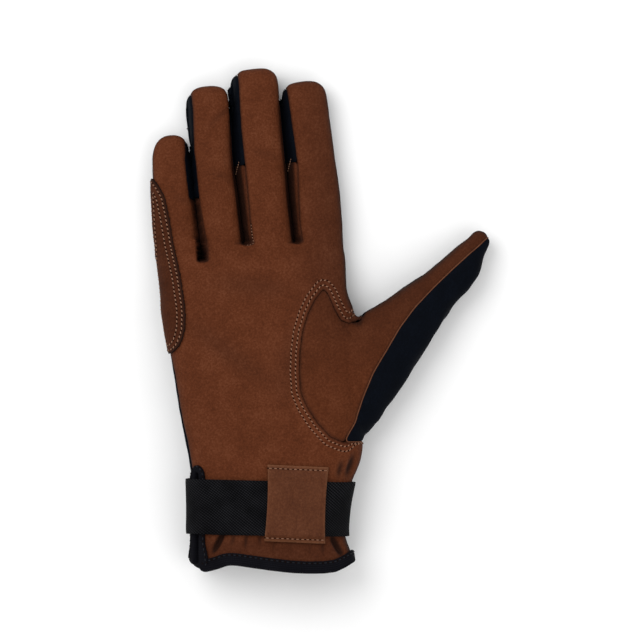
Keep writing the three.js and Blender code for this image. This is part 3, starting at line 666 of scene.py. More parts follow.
class Skin:
    """The outer surface of the whole glove as one fine mesh, with its seams as fields on it.

    A field has a value at each corner of the mesh. It is above zero inside a panel or an area, zero
    on its edge, and tells the distance from that edge nearby.
    """

    SMOOTHING = (0.5, -0.51)
    SEAM_FAIRING = 4
    HEM_REACH = 0.06
    VENT_REACH = (6 * MM, 3 * MM, 10 * MM)
    SHELL_EDGE = 0.45 * MM
    SHELL_INSIDE = 3 * MM
    FORK_FLOOR = 4.5 * MM
    SLOPE_RAMP = 2.4 * MM
    PRESSED_HEIGHTS = ((1 * MM, 2.5 * MM), (7.5 * MM, 10.5 * MM))
    PRESSED_OVER = 0.2 * MM
    # How far a wall's slope goes down gently and steeply, where it is steep and where shade is
    # painted on it, as shares of the wall's width, and how much of the slope a fingertip loses
    SLOPE = (0.3, 0.65)
    STEEP_OVER = (0.3, 0.8)
    DARK_OVER = (0.05, 0.6)
    TIP_LOSS = 0.8
    # The hand beyond a slit: how thin it gets, how far each side of the little finger's slit is
    # lowered, over which shares of the hand's length, and how far the ring finger's slit cuts it
    NARROWED = 0.75
    LOWERED = (0.09, 0.07)
    LOWERED_OVER = (0.95, 0.99)
    RING_SLIT_TO = 20 * MM
    # The knuckles that are blended: from and to which shares of the hand's length, how far beside a
    # slit and how far under its lower end
    KNUCKLES_FROM = (0.86, 0.93)
    KNUCKLES_TO = (1.06, 1.12)
    KNUCKLES_BESIDE = (4.5 * MM, 7 * MM)
    KNUCKLES_UNDER = (7 * MM, 4 * MM)
    SNAP = 0.2

    def __init__(self) -> None:
        """Makes the surface and finds the seams."""
        self.mesh = self._surface()
        self.edges = self._read(self.mesh.edges, "vertices", 2, np.int32)
        self.quads = self._read(self.mesh.loops, "edge_index", 1, np.int32).reshape(-1, 4)
        self._fair(FAIRING_STEPS)
        self._close_slits()
        self.blend_knuckles()
        self.base = self.co.copy()
        self.distance = {node: self.distance_to(node) for node in SHELL_NODES}
        for slit, node in zip(SLITS, FORK_NODES):
            self.distance[node] += slit.foot(self.base)
        stack = np.stack([self.distance[node] for node in SHELL_NODES])
        order = np.sort(stack, axis=0)
        self.fields: dict[str, np.ndarray] = {}
        for i, node in enumerate(SHELL_NODES):
            others = np.delete(stack, i, axis=0).min(axis=0)
            near = np.where(stack[i] < SEAM_REACH, others - stack[i], -SEAM_REACH)
            self.fields[node] = self.faired(near, self.SEAM_FAIRING)
        self.seam = self.faired(order[1] - order[0], 2)
        aside, ahead, above = self.VENT_REACH
        near_hem = self.base[:, 1] < hand_y(self.HEM_REACH)
        near_vent = (np.abs(self.base[:, 0] - hand_x(VENT_ACROSS)) < aside) & (
            self.base[:, 1] < hand_y(0) + VENT_LENGTH + ahead) & (self.base[:, 2] > above)
        edge = np.where(near_hem | near_vent, self.SHELL_EDGE - order[0], self.SHELL_INSIDE)
        self.shell = self.faired(edge, 2)
        self.normals = self._normals()

    @property
    def co(self) -> np.ndarray:
        """The places of the mesh's corners."""
        return self._read(self.mesh.vertices, "co", 3, np.float32).astype(float)

    @co.setter
    def co(self, places: np.ndarray) -> None:
        """Puts the mesh's corners at new places."""
        self.mesh.vertices.foreach_set("co", places.astype(np.float32).ravel())
        self.mesh.update()

    @staticmethod
    def _read(items: bpy.types.bpy_prop_collection, name: str, width: int, kind: type) -> np.ndarray:
        """Reads one property of every item.

        Args:
            items: The mesh's corners, edges or other parts.
            name: The property's name.
            width: How many values each item has.
            kind: Their number type.

        Returns:
            The values, a row for each item where it has more than one.
        """
        values = np.zeros(len(items) * width, kind)
        items.foreach_get(name, values)
        return values.reshape(-1, width) if width > 1 else values

    def _surface(self) -> bpy.types.Mesh:
        """Joins the hand, the fingers and the thumb into one skin, with the fingers held apart.

        Returns:
            The skin's mesh.
        """
        joined = bpy.data.meshes.new("skin_parts")
        whole = bmesh.new()
        parts = [self._hand(0), self._hand(1), tube(thumb_rings())]
        for number, finger in enumerate(FINGERS):
            made = tube(finger.rings())
            places = np.array([corner.co for corner in made.verts])
            y = places[:, 1]
            if number > 0:
                slit = SLITS[number - 1]
                limit = np.where(y > slit.bottom, slit.line(y) + slit.half(y), -1)
                places[:, 0] = np.maximum(places[:, 0], limit)
            if number < len(SLITS):
                slit = SLITS[number]
                limit = np.where(y > slit.bottom, slit.line(y) - slit.half(y), 1)
                places[:, 0] = np.minimum(places[:, 0], limit)
            places[:, 0] += shift_of(number, y)
            for corner, target in zip(made.verts, places):
                corner.co = target
            parts.append(made)
        for part in parts:
            part.to_mesh(joined)
            part.free()
            whole.from_mesh(joined)
        holder = finished("skin_parts", whole)
        remesh = holder.modifiers.new("skin", "REMESH")
        remesh.mode = "VOXEL"
        remesh.voxel_size = VOXEL
        skin = bpy.data.meshes.new_from_object(
            holder.evaluated_get(bpy.context.evaluated_depsgraph_get()))
        bpy.data.objects.remove(holder)
        return skin

    def _hand(self, side: int) -> bmesh.types.BMesh:
        """Makes the hand on one side of the little finger's slit, whole below it.

        Args:
            side: 0 for the little finger's side, 1 for the other.

        Returns:
            The hand's closed tube.
        """
        slit = SLITS[0]
        made = tube(hand_rings())
        places = np.array([corner.co for corner in made.verts])
        x, y = places[:, 0], places[:, 1]
        above = y > slit.bottom
        middle = slit.line(y)
        wall = middle - slit.half(y) if side == 0 else middle + slit.half(y)
        beyond = above & ((x > wall) if side == 0 else (x < wall))
        places[beyond, 0] = wall[beyond]
        centre = PALM_DEPTH * HAND[-1][3] / 2
        places[beyond, 2] = centre + (places[beyond, 2] - centre) * self.NARROWED
        low, high = (hand_y(share) for share in self.LOWERED_OVER)
        places[:, 2] *= 1 - self.LOWERED[side] * smoothstep(y, low, high)
        if side == 0:
            places[above, 0] -= slit.opened(y[above])
        else:
            by_ring = x < self.RING_SLIT_TO
            places[:, 1] = np.minimum(y, np.where(by_ring, SLITS[1].bottom, SLITS[2].bottom))
        for corner, target in zip(made.verts, places):
            corner.co = target
        return made

    def faired(self, values: np.ndarray, steps: int, share: float = 0.5) -> np.ndarray:
        """Moves the values towards their neighbours' mean.

        Args:
            values: A value or a row for each corner.
            steps: How many times they move.
            share: How far they move each time.

        Returns:
            The new values.
        """
        a, b = self.edges.T
        count = np.bincount(self.edges.ravel(), minlength=len(values)).astype(float)
        out = values.astype(float)
        for _ in range(steps):
            if out.ndim == 1:
                total = np.bincount(a, out[b], len(out)) + np.bincount(b, out[a], len(out))
                out = out + share * (total / count - out)
            else:
                total = np.stack([
                    np.bincount(a, out[b, k], len(out)) + np.bincount(b, out[a, k], len(out))
                    for k in range(3)], axis=1)
                out = out + share * (total / count[:, None] - out)
        return out

    def _fair(self, steps: int) -> None:
        """Smooths the surface without shrinking it.

        Args:
            steps: How many times it is smoothed.
        """
        places = self.co
        for _ in range(steps):
            for share in self.SMOOTHING:
                places = self.faired(places, 1, share)
        self.co = places

    def _close_slits(self) -> None:
        """Brings the fingers back to their places."""
        places = self.co
        x, y = places[:, 0].copy(), places[:, 1]
        number = np.zeros(len(x), int)
        for i, slit in enumerate(SLITS):
            middle = slit.line(y) + (shift_of(i, y) + shift_of(i + 1, y)) / 2
            number += (x > middle) & (y > SLITS[0].bottom)
        for i in range(len(FINGERS)):
            places[number == i, 0] -= shift_of(i, y[number == i])
        self.co = places

    def press_forks(self) -> np.ndarray:
        """Slopes the side walls that show between the fingers down into the slits.

        Returns:
            How far down each corner lies in a slit, from 0 to 1, as the shade painted there.
        """
        x, y, z = self.co.T
        floor = self.FORK_FLOOR
        gentle, steep = self.SLOPE
        deep = np.zeros(len(x))
        for slit in SLITS:
            line, half = slit.line(y), slit.half(y)
            for finger, towards, start in slit.walls():
                edge = finger.middle(y) - towards * (finger.half(y) - finger.side(y))
                wall = line + towards * half
                run = np.where(np.abs(edge - wall) < WELD, 1, edge - wall)
                t = np.clip((edge - x) / run, 0, 1)
                here = (towards * (x - line) > 0) & (towards * (edge - x) > 0)
                gate = smoothstep(y, start, start + self.SLOPE_RAMP) * (
                    1 - self.TIP_LOSS * smoothstep(y, finger.dome_y, finger.tip_y))
                slope = gentle * t + steep * smoothstep(t, *self.STEEP_OVER)
                share = np.where(here & (z > floor), slope * gate, 0)
                z = z - (z - floor) * share
                # Painted shade down the wall's slope, and below in the gap's lower end
                dark = smoothstep(t, *self.DARK_OVER) * gate
                deep = np.maximum(deep, np.where(here, dark, 0))
            deep = np.maximum(deep, slit.shade(x, y))
            from_back, from_palm = self.PRESSED_HEIGHTS
            low = smoothstep(z, *from_back) * (1 - smoothstep(z, *from_palm))
            away = np.minimum(np.abs(x - line), slit.wall(y) + slit.closed_beside[0])
            x = x - np.sign(x - line) * (away + self.PRESSED_OVER) * low * slit.near(x, y)
        self.co = np.stack([x, y, z], axis=1)
        self.normals = self._normals()
        return deep

    def blend_knuckles(self, steps: int = 30) -> None:
        """Smooths the palm where the fingers leave it, away from the slits.

        Args:
            steps: How many times it is smoothed.
        """
        places = self.co
        x, y = places[:, 0], places[:, 1]
        first, full = (hand_y(share) for share in self.KNUCKLES_FROM)
        last, gone = (hand_y(share) for share in self.KNUCKLES_TO)
        weight = smoothstep(y, first, full) * (1 - smoothstep(y, last, gone))
        for slit in SLITS:
            beside = smoothstep(np.abs(x - slit.line(y)), *self.KNUCKLES_BESIDE)
            low, high = (slit.bottom - step for step in self.KNUCKLES_UNDER)
            under = 1 - smoothstep(y, low, high)
            weight *= np.maximum(beside, under)
        for _ in range(steps):
            places += (self.faired(places, 1) - places) * weight[:, None]
        self.co = places

    def keyhole(self) -> np.ndarray:
        """Finds the signed distance outside the thumb's keyhole.

        Returns:
            A distance for each corner, above zero on the palm's leather.
        """
        near = self.distance
        thumb, palm = near["thumb_leather"], near["palm_leather"]
        cloth = np.minimum(near["thumb_fabric"], near["back_fabric"])
        hole = np.where(thumb < SEAM_REACH, thumb - palm, SEAM_REACH)
        return self.faired(np.where(palm < cloth, hole, -SEAM_REACH), self.SEAM_FAIRING)

    def _normals(self) -> np.ndarray:
        """The normals at the mesh's corners."""
        self.mesh.update()
        return self._read(self.mesh.vertex_normals, "vector", 3, np.float32).astype(float)

    def distance_to(self, node: str, lift: float = 0.0) -> np.ndarray:
        """Finds how far each corner is from a node of the frame, up to the seams' reach.

        Args:
            node: The node's name.
            lift: How far above the skin it is measured.

        Returns:
            A distance for each corner.
        """
        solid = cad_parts[node].data
        tree = BVHTree.FromPolygons(
            [corner.co for corner in solid.vertices], [face.vertices for face in solid.polygons])
        low, high = (np.array(corner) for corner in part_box(node))
        places = self.co + self._normals() * lift
        near = np.all((places > low - SEAM_REACH) & (places < high + SEAM_REACH), axis=1)
        away = np.full(len(places), SEAM_REACH)
        for i in np.flatnonzero(near):
            found = tree.find_nearest(places[i], SEAM_REACH)
            if found[3] is not None:
                away[i] = found[3]
        return away

    def line(self, values: np.ndarray, level: float = 0.0) -> Line:
        """Finds the longest line along which a field has one value.

        Args:
            values: The field.
            level: The value.

        Returns:
            The line.
        """
        above = values > level
        a, b = self.edges.T
        crossed = above[a] != above[b]
        rise = np.where(crossed, values[b] - values[a], 1)
        share = np.where(crossed, (level - values[a]) / rise, 0)
        places = self.co
        points = places[a] + (places[b] - places[a]) * share[:, None]
        facing = self.normals[a] + (self.normals[b] - self.normals[a]) * share[:, None]
        links: dict[int, list[int]] = {}
        for quad in self.quads[crossed[self.quads].sum(axis=1) >= 2]:
            hit = [int(edge) for edge in quad if crossed[edge]]
            for one, other in zip(hit[::2], hit[1::2]):
                links.setdefault(one, []).append(other)
                links.setdefault(other, []).append(one)
        best: list[int] = []
        closed = False
        todo = set(links)
        while todo:
            ends = [edge for edge in todo if len(links[edge]) == 1]
            start = ends[0] if ends else next(iter(todo))
            chain, here = [start], start
            todo.discard(start)
            while True:
                ahead = [edge for edge in links[here] if edge in todo]
                if not ahead:
                    break
                here = ahead[0]
                todo.discard(here)
                chain.append(here)
            if len(chain) > len(best):
                best, closed = chain, len(chain) > 2 and start in links[chain[-1]]
        return Line(points[best], facing[best], closed)

    def away_from(self, line: Line, sign: np.ndarray) -> np.ndarray:
        """Finds the signed distance of each corner from a line, up to the seams' reach.

        Args:
            line: The line.
            sign: A field that is above zero where the distance is to be positive.

        Returns:
            A distance for each corner.
        """
        spots = line.even(VOXEL / 2, 0).points
        tree = KDTree(len(spots))
        for i, spot in enumerate(spots):
            tree.insert(spot, i)
        tree.balance()
        places = self.co
        low, high = spots.min(axis=0) - SEAM_REACH, spots.max(axis=0) + SEAM_REACH
        near = np.all((places > low) & (places < high), axis=1)
        away = np.full(len(places), SEAM_REACH)
        for i in np.flatnonzero(near):
            away[i] = min(SEAM_REACH, tree.find(places[i])[2])
        return away * np.where(sign > 0, 1, -1)

    def move(self, height: np.ndarray) -> None:
        """Moves every corner along its normal."""
        self.co = self.co + self.normals * height[:, None]
        self.normals = self._normals()

    def tree(self) -> BVHTree:
        """A search tree over the skin."""
        corners = [corner.co for corner in self.mesh.vertices]
        return BVHTree.FromPolygons(corners, [face.vertices for face in self.mesh.polygons])

    def cut(self, limits: Sequence[np.ndarray], carried: dict[str, np.ndarray]) -> bmesh.types.BMesh:
        """Cuts out the part of the skin on which every limit is above zero.

        Args:
            limits: Fields that the cut follows.
            carried: Values to keep on the part, by name.

        Returns:
            The cut part as an open mesh.
        """
        inside = np.all([limit > -3 * VOXEL for limit in limits], axis=0)
        named = {f"limit_{i}": limit for i, limit in enumerate(limits)} | carried
        for name, values in named.items():
            layer = self.mesh.attributes.new(name, "FLOAT", "POINT")
            layer.data.foreach_set("value", values.astype(np.float32))
        part = bmesh.new()
        part.from_mesh(self.mesh)
        part.verts.ensure_lookup_table()
        outside = [part.verts[i] for i in np.flatnonzero(~inside)]
        bmesh.ops.delete(part, geom=outside, context="VERTS")
        for i in range(len(limits)):
            self._cut_along(part, part.verts.layers.float[f"limit_{i}"])
        for i in range(len(limits)):
            part.verts.layers.float.remove(part.verts.layers.float[f"limit_{i}"])
        for name in named:
            self.mesh.attributes.remove(self.mesh.attributes[name])
        return part

    @staticmethod
    def _cut_along(part: bmesh.types.BMesh, layer: bmesh.types.BMLayerItem) -> None:
        """Cuts a mesh along the line where a field is zero, and drops what lies below it.

        Args:
            part: The mesh.
            layer: The field, as a layer of its corners.
        """
        snap = Skin.SNAP
        for edge in part.edges:
            one, other = edge.verts
            a, b = one[layer], other[layer]
            if a * b >= 0:
                continue
            share = a / (a - b)
            if share < snap:
                one.co = one.co.lerp(other.co, share)
                one[layer] = 0.0
            elif share > 1 - snap:
                other.co = other.co.lerp(one.co, 1 - share)
                other[layer] = 0.0
        crossed = [e for e in part.edges if e.verts[0][layer] * e.verts[1][layer] < 0]
        for edge in crossed:
            one, other = edge.verts
            a, b = one[layer], other[layer]
            made = bmesh.utils.edge_split(edge, one, a / (a - b))[1]
            made[layer] = 0.0
        on_line = [corner for corner in part.verts if corner[layer] == 0.0]
        bmesh.ops.connect_verts(part, verts=on_line)
        dropped = [corner for corner in part.verts if corner[layer] < 0]
        bmesh.ops.delete(part, geom=dropped, context="VERTS")
        loose = [face for face in part.faces if all(corner[layer] == 0.0 for corner in face.verts)]
        bmesh.ops.delete(part, geom=loose, context="FACES")
        bare = [corner for corner in part.verts if not corner.link_faces]
        bmesh.ops.delete(part, geom=bare, context="VERTS")


def linear(code: str) -> tuple[float, float, float, float]:
    """Turns an sRGB colour to linear.

    Args:
        code: The colour as a hex value.

    Returns:
        Red, green, blue and alpha for a node.
    """
    shares = [int(code[i:i + 2], 16) / 255 for i in (1, 3, 5)]
    low = [s / 12.92 if s <= 0.04045 else ((s + 0.055) / 1.055) ** 2.4 for s in shares]
    return (*low, 1.0)


def add(
    tree: bpy.types.NodeTree, kind: str, settings: dict | None = None, inputs: dict | None = None,
) -> bpy.types.Node:
    """Adds a node.

    Args:
        tree: The material's node tree.
        kind: The node's type name, without its ShaderNode prefix.
        settings: Properties to set.
        inputs: Values or output sockets, by input name or number.

    Returns:
        The new node.
    """
    made = tree.nodes.new("ShaderNode" + kind)
    for name, value in (settings or {}).items():
        setattr(made, name, value)
    for name, value in (inputs or {}).items():
        if isinstance(value, bpy.types.NodeSocket):
            tree.links.new(value, made.inputs[name])
        else:
            made.inputs[name].default_value = value
    return made


def ramp(tree: bpy.types.NodeTree, factor: bpy.types.NodeSocket,
         stops: Sequence[tuple[float, str]]) -> bpy.types.NodeSocket:
    """Gives a colour to each value of a factor.

    Args:
        tree: The material's node tree.
        factor: The factor's socket.
        stops: The place and the hex colour of each stop.

    Returns:
        The colour's socket.
    """
    made = add(tree, "ValToRGB", inputs={0: factor})
    elements = made.color_ramp.elements
    while len(elements) < len(stops):
        elements.new(0.5)
    for element, (place, code) in zip(elements, stops):
        element.position = place
        element.color = linear(code)
    return made.outputs[0]


class Weave(Enum):
    """How a textile's threads run."""

    KNIT = "knit"
    TWILL = "twill"
    TAPE = "tape"


@dataclass(frozen=True)
class Leather:
    """Nubuck goat leather: buffed on the grain side, so it is matt, soft and mottled."""

    name: str
    dark: str
    middle: str
    light: str
    # The colour that the attribute seam mixes in: painted shade on most pieces, the pale cut edge on
    # the tab
    edge: str
    pore: float = 0.55 * MM
    pore_depth: float = 0.16 * MM
    nap: float = 0.22 * MM
    nap_height: float = 0.05 * MM
    mottle: float = 11 * MM
    speckle: float = 1.0 * MM
    crease: float = 3.5 * MM
    crease_height: float = 1.1 * MM
    crease_turn: float = math.radians(38)
    roughness: float = 0.8
    shine: float = 0.1

    def material(self) -> bpy.types.Material:
        """Makes the finish.

        Returns:
            Its material, darker or lighter where the attribute seam says so.
        """
        made = bpy.data.materials.new(self.name)
        made.use_nodes = True
        tree = made.node_tree
        tree.nodes.clear()
        here = add(tree, "TexCoord").outputs["Object"]
        clouds = add(tree, "TexNoise", inputs={
            "Vector": here, "Scale": 1 / self.mottle, "Detail": 6.0, "Roughness": 0.62})
        speckle = add(tree, "TexNoise", inputs={
            "Vector": here, "Scale": 1 / self.speckle, "Detail": 4.0, "Roughness": 0.75})
        tone = add(tree, "Math", {"operation": "MULTIPLY_ADD"}, {
            0: clouds.outputs[0], 1: 0.5, 2: -0.25})
        mixed = add(tree, "Math", {"operation": "ADD"}, {0: speckle.outputs[0], 1: tone.outputs[0]})
        colour = ramp(tree, mixed.outputs[0],
                      ((0.18, self.dark), (0.5, self.middle), (0.82, self.light)))
        # Mixes in the edge colour: painted shade in seams, slits and folds and on turned sides; the
        # tab's pale cut edge
        seam = add(tree, "Attribute", {"attribute_name": "seam"})
        edge = add(tree, "Mix", {"data_type": "RGBA"}, {
            "Factor": seam.outputs["Fac"], "A": colour, "B": linear(self.edge)})
        turned = add(tree, "Mapping", inputs={
            "Vector": here, "Rotation": (0.0, 0.0, self.crease_turn), "Scale": (1.0, 0.3, 1.0)})
        folds = add(tree, "TexNoise", inputs={
            "Vector": turned.outputs[0], "Scale": 1 / self.crease, "Detail": 5.0,
            "Roughness": 0.6, "Distortion": 0.6})
        pores = add(tree, "TexVoronoi", inputs={"Vector": here, "Scale": 1 / self.pore})
        nap = add(tree, "TexNoise", inputs={
            "Vector": here, "Scale": 1 / self.nap, "Detail": 2.0})
        creased = add(tree, "Bump", inputs={
            "Height": folds.outputs[0], "Distance": self.crease_height, "Strength": 0.7})
        pored = add(tree, "Bump", inputs={
            "Height": pores.outputs[0], "Distance": self.pore_depth, "Strength": 0.6,
            "Normal": creased.outputs[0]})
        napped = add(tree, "Bump", inputs={
            "Height": nap.outputs[0], "Distance": self.nap_height, "Strength": 0.5,
            "Normal": pored.outputs[0]})
        shader = add(tree, "BsdfPrincipled", inputs={
            "Base Color": edge.outputs["Result"], "Roughness": self.roughness,
            "Specular IOR Level": self.shine, "Normal": napped.outputs[0]})
        add(tree, "OutputMaterial", inputs={0: shader.outputs[0]})
        return made


@dataclass(frozen=True)
class Textile:
    """Synthetic yarn, knitted or woven: matt and dark, with ribs as wide as the rib says.

    The real yarn is finer than the picture can show, so the ribs are drawn coarser than it is.
    """

    name: str
    base: str
    light: str
    weave: Weave
    rib: float
    height: float
    blotch: float = 8 * MM
    roughness: float = 0.82
    shine: float = 0.045

    def material(self) -> bpy.types.Material:
        """Makes the finish.

        Returns:
            Its material.
        """
        made = bpy.data.materials.new(self.name)
        made.use_nodes = True
        tree = made.node_tree
        tree.nodes.clear()
        here = add(tree, "TexCoord").outputs["Object"]
        woven = self._loops(tree, here) if self.weave is Weave.KNIT else self._threads(tree)
        blotch = add(tree, "TexNoise", inputs={
            "Vector": here, "Scale": 1 / self.blotch, "Detail": 4.0})
        # Lighter where the threads stand high: painted highlight on their crests, over the yarn's own
        # blotches
        shade = add(tree, "Math", {"operation": "MULTIPLY"}, {
            0: woven.outputs[0], 1: blotch.outputs[0]})
        colour = ramp(tree, shade.outputs[0], ((0.1, self.base), (0.8, self.light)))
        bump = add(tree, "Bump", inputs={
            "Height": woven.outputs[0], "Distance": self.height, "Strength": 0.8})
        shader = add(tree, "BsdfPrincipled", inputs={
            "Base Color": colour, "Roughness": self.roughness, "Specular IOR Level": self.shine,
            "Normal": bump.outputs[0]})
        add(tree, "OutputMaterial", inputs={0: shader.outputs[0]})
        return made

    def _loops(self, tree: bpy.types.NodeTree, here: bpy.types.NodeSocket) -> bpy.types.Node:
        """The small even loops of a knit."""
        return add(tree, "TexVoronoi", inputs={
            "Vector": here, "Scale": 1 / self.rib, "Randomness": 0.55})

    def _threads(self, tree: bpy.types.NodeTree) -> bpy.types.Node:
        """Lays threads that cross, with one way standing out.

        Args:
            tree: The material's node tree.

        Returns:
            The node that gives the threads' height.
        """
        where = add(tree, "UVMap", {"uv_map": "weave"}).outputs[0]
        bands = []
        for angle in {Weave.TWILL: (52, -38), Weave.TAPE: (90, 0)}[self.weave]:
            turned = add(tree, "Mapping", inputs={
                "Vector": where, "Rotation": (0.0, 0.0, math.radians(angle))})
            bands.append(add(tree, "TexWave", {"wave_type": "BANDS", "bands_direction": "X"}, {
                "Vector": turned.outputs[0], "Scale": 1 / (self.rib * math.tau / 2),
                "Distortion": 0.6, "Detail": 1.0}))
        crossing = add(tree, "Math", {"operation": "MULTIPLY"}, {
            0: bands[0].outputs["Fac"], 1: bands[1].outputs["Fac"]})
        return add(tree, "Math", {"operation": "MULTIPLY_ADD"}, {
            0: bands[0].outputs["Fac"], 1: 0.5, 2: crossing.outputs[0]})


@dataclass(frozen=True)
class Thread:
    """Twisted polyester sewing thread: a dull gloss and a fine twist."""

    name: str
    base: str
    light: str
    twist: float = 0.5 * MM
    twist_height: float = 0.05 * MM
    shine: float = 0.15

    def material(self) -> bpy.types.Material:
        """Makes the finish.

        Returns:
            Its material.
        """
        made = bpy.data.materials.new(self.name)
        made.use_nodes = True
        tree = made.node_tree
        tree.nodes.clear()
        here = add(tree, "TexCoord").outputs["Object"]
        fibre = add(tree, "TexNoise", inputs={
            "Vector": here, "Scale": 1 / self.twist, "Detail": 2.0})
        colour = ramp(tree, fibre.outputs[0], ((0.3, self.base), (0.7, self.light)))
        bump = add(tree, "Bump", inputs={
            "Height": fibre.outputs[0], "Distance": self.twist_height, "Strength": 0.6})
        shader = add(tree, "BsdfPrincipled", inputs={
            "Base Color": colour, "Roughness": 0.6, "Specular IOR Level": self.shine,
            "Normal": bump.outputs[0]})
        add(tree, "OutputMaterial", inputs={0: shader.outputs[0]})
        return made


# Goat leather buffed on the grain side: a soft matt brown with a fine short nap. Its edge colour
# is painted shade, dark in its seams, slits and folds and on its turned sides
PALM_NUBUCK = Leather("nubuck_buffed_brown", "#3a1805", "#522711", "#673a24", "#190a05")
# The same hide cut across: a little darker and redder, with the same painted shade as edge colour
THUMB_NUBUCK = Leather("nubuck_buffed_chestnut", "#351503", "#4c230d", "#5f331d", "#190a05")
# A second hide against abrasion, dyed deeper: nearly chocolate. Its near-black edge colour is
# painted shade along its rolled edge
PATCH_NUBUCK = Leather("nubuck_buffed_dark", "#291002", "#3c1a08", "#4d2914", "#160904")
# Leather pressed smooth and creased by hand: a little gloss, with pale cut edges
TAB_NUBUCK = Leather("nubuck_pressed_brown", "#3d1b0b", "#502a16", "#633a24", "#6a432c",
                     crease=3.0 * MM, crease_height=2.4 * MM, roughness=0.6)
# Knitted polyester: a blue so dark that it reads as black, with loops drawn as wide as they show
SOFTSHELL = Textile("softshell_knit_navy", "#03050a", "#090e18", Weave.KNIT, 0.7 * MM, 0.05 * MM)
# Rubber under polyester yarn, woven: black, with slanting ribs drawn as wide as they show
ELASTIC_WEAVE = Textile("elastic_woven_black", "#020203", "#242427", Weave.TWILL, 1.05 * MM, 0.3 * MM)
# Polyester tape, woven flat: ink black with a faint grid
BINDING_TAPE = Textile("polyester_tape_ink", "#06060a", "#16151b", Weave.TAPE, 0.8 * MM, 0.06 * MM)
# A strip of the palm's leather folded over: a lighter brown, partly painted highlight on the fold
PIPING_NUBUCK = Leather("nubuck_folded_brown", "#4c2a1a", "#5f3926", "#6d4631", "#3c2114")
# The shade inside a needle hole: no light comes back
PRICKED = Thread("needle_hole_shade", "#0e0603", "#160a05", shine=0.02)
# Sewing thread dyed tan: dull light dashes on the leather
TAN_THREAD = Thread("polyester_thread_tan", "#6d4c39", "#8f6a54")
# Sewing thread dyed ink black: dashes that hardly show on the tape
DARK_THREAD = Thread("polyester_thread_ink", "#0a0b10", "#191a21")


@dataclass
class Crease:
    """A soft fold in the palm side of the glove, from one place to another."""

    start: tuple[float, float]
    end: tuple[float, float]
    depth: float
    width: float

    def height(self, places: np.ndarray) -> np.ndarray:
        """Works out the fold's form.

        Args:
            places: Places on the skin.

        Returns:
            The fold's height at each, below zero in the fold.
        """
        a, b = np.array(self.start) * MM, np.array(self.end) * MM
        run = b - a
        t = np.clip((places[:, :2] - a) @ run / (run @ run), 0, 1)
        away = np.linalg.norm(places[:, :2] - a - t[:, None] * run, axis=1)
        fade = np.sin(np.pi * np.clip(t * 0.86 + 0.07, 0, 1))
        return -self.depth * MM * fade * np.exp(-(away / (self.width * MM)) ** 2)


# Start, end, depth and width of each fold, in millimetres
CREASES = (
    Crease((-14.6, -92), (-20.5, -103), 3.0, 1.3),
    Crease((37.2, -94.5), (43.0, -104), 3.0, 1.3),
    Crease((-9.5, -93), (-12, -101), 0.9, 1.3),
    Crease((-4, -93), (-4.6, -102), 1.1, 1.2),
    Crease((2.5, -93), (2.8, -101), 0.9, 1.2),
    Crease((9, -96), (9.5, -104), 0.8, 1.4),
    Crease((17, -98), (17.5, -106), 0.6, 1.5),
    Crease((27, -97), (26, -106), 0.7, 1.5),
    Crease((33, -96), (33.5, -105), 1.0, 1.2),
    Crease((44.5, -67), (48.5, -55), 1.5, 1.5),
    Crease((40.5, -67), (42.5, -58), 1.1, 1.4),
    Crease((43.5, 12), (51, 8.5), 0.8, 1.4),
    Crease((39, 14.5), (47, 4), 0.7, 1.6),
    Crease((70, -2), (80, -7), 0.7, 1.6),
    Crease((82, 16), (92, 11), 0.6, 1.5),
    Crease((66, -17), (74, -23), 0.6, 1.8),
    Crease((58, -30), (67, -33), 0.5, 1.7),
    Crease((88, 27), (97, 24), 0.5, 1.4),
    Crease((-18, 108), (-8, 116), 0.3, 1.4),
    Crease((-23, 103), (-14, 112), 0.25, 1.5),
    Crease((-22, 82), (-8, 77), 0.22, 1.8),
    Crease((-2, 92), (14, 88), 0.22, 1.9),
    Crease((24, 88), (40, 86), 0.22, 1.9),
    Crease((-40, 70), (-30, 66), 0.25, 1.6),
    Crease((-34, 10), (8, -22), 0.3, 5.0),
    Crease((-20, 28), (22, 24), 0.28, 5.5),
    Crease((14, -30), (22, 12), 0.3, 6.0),
)


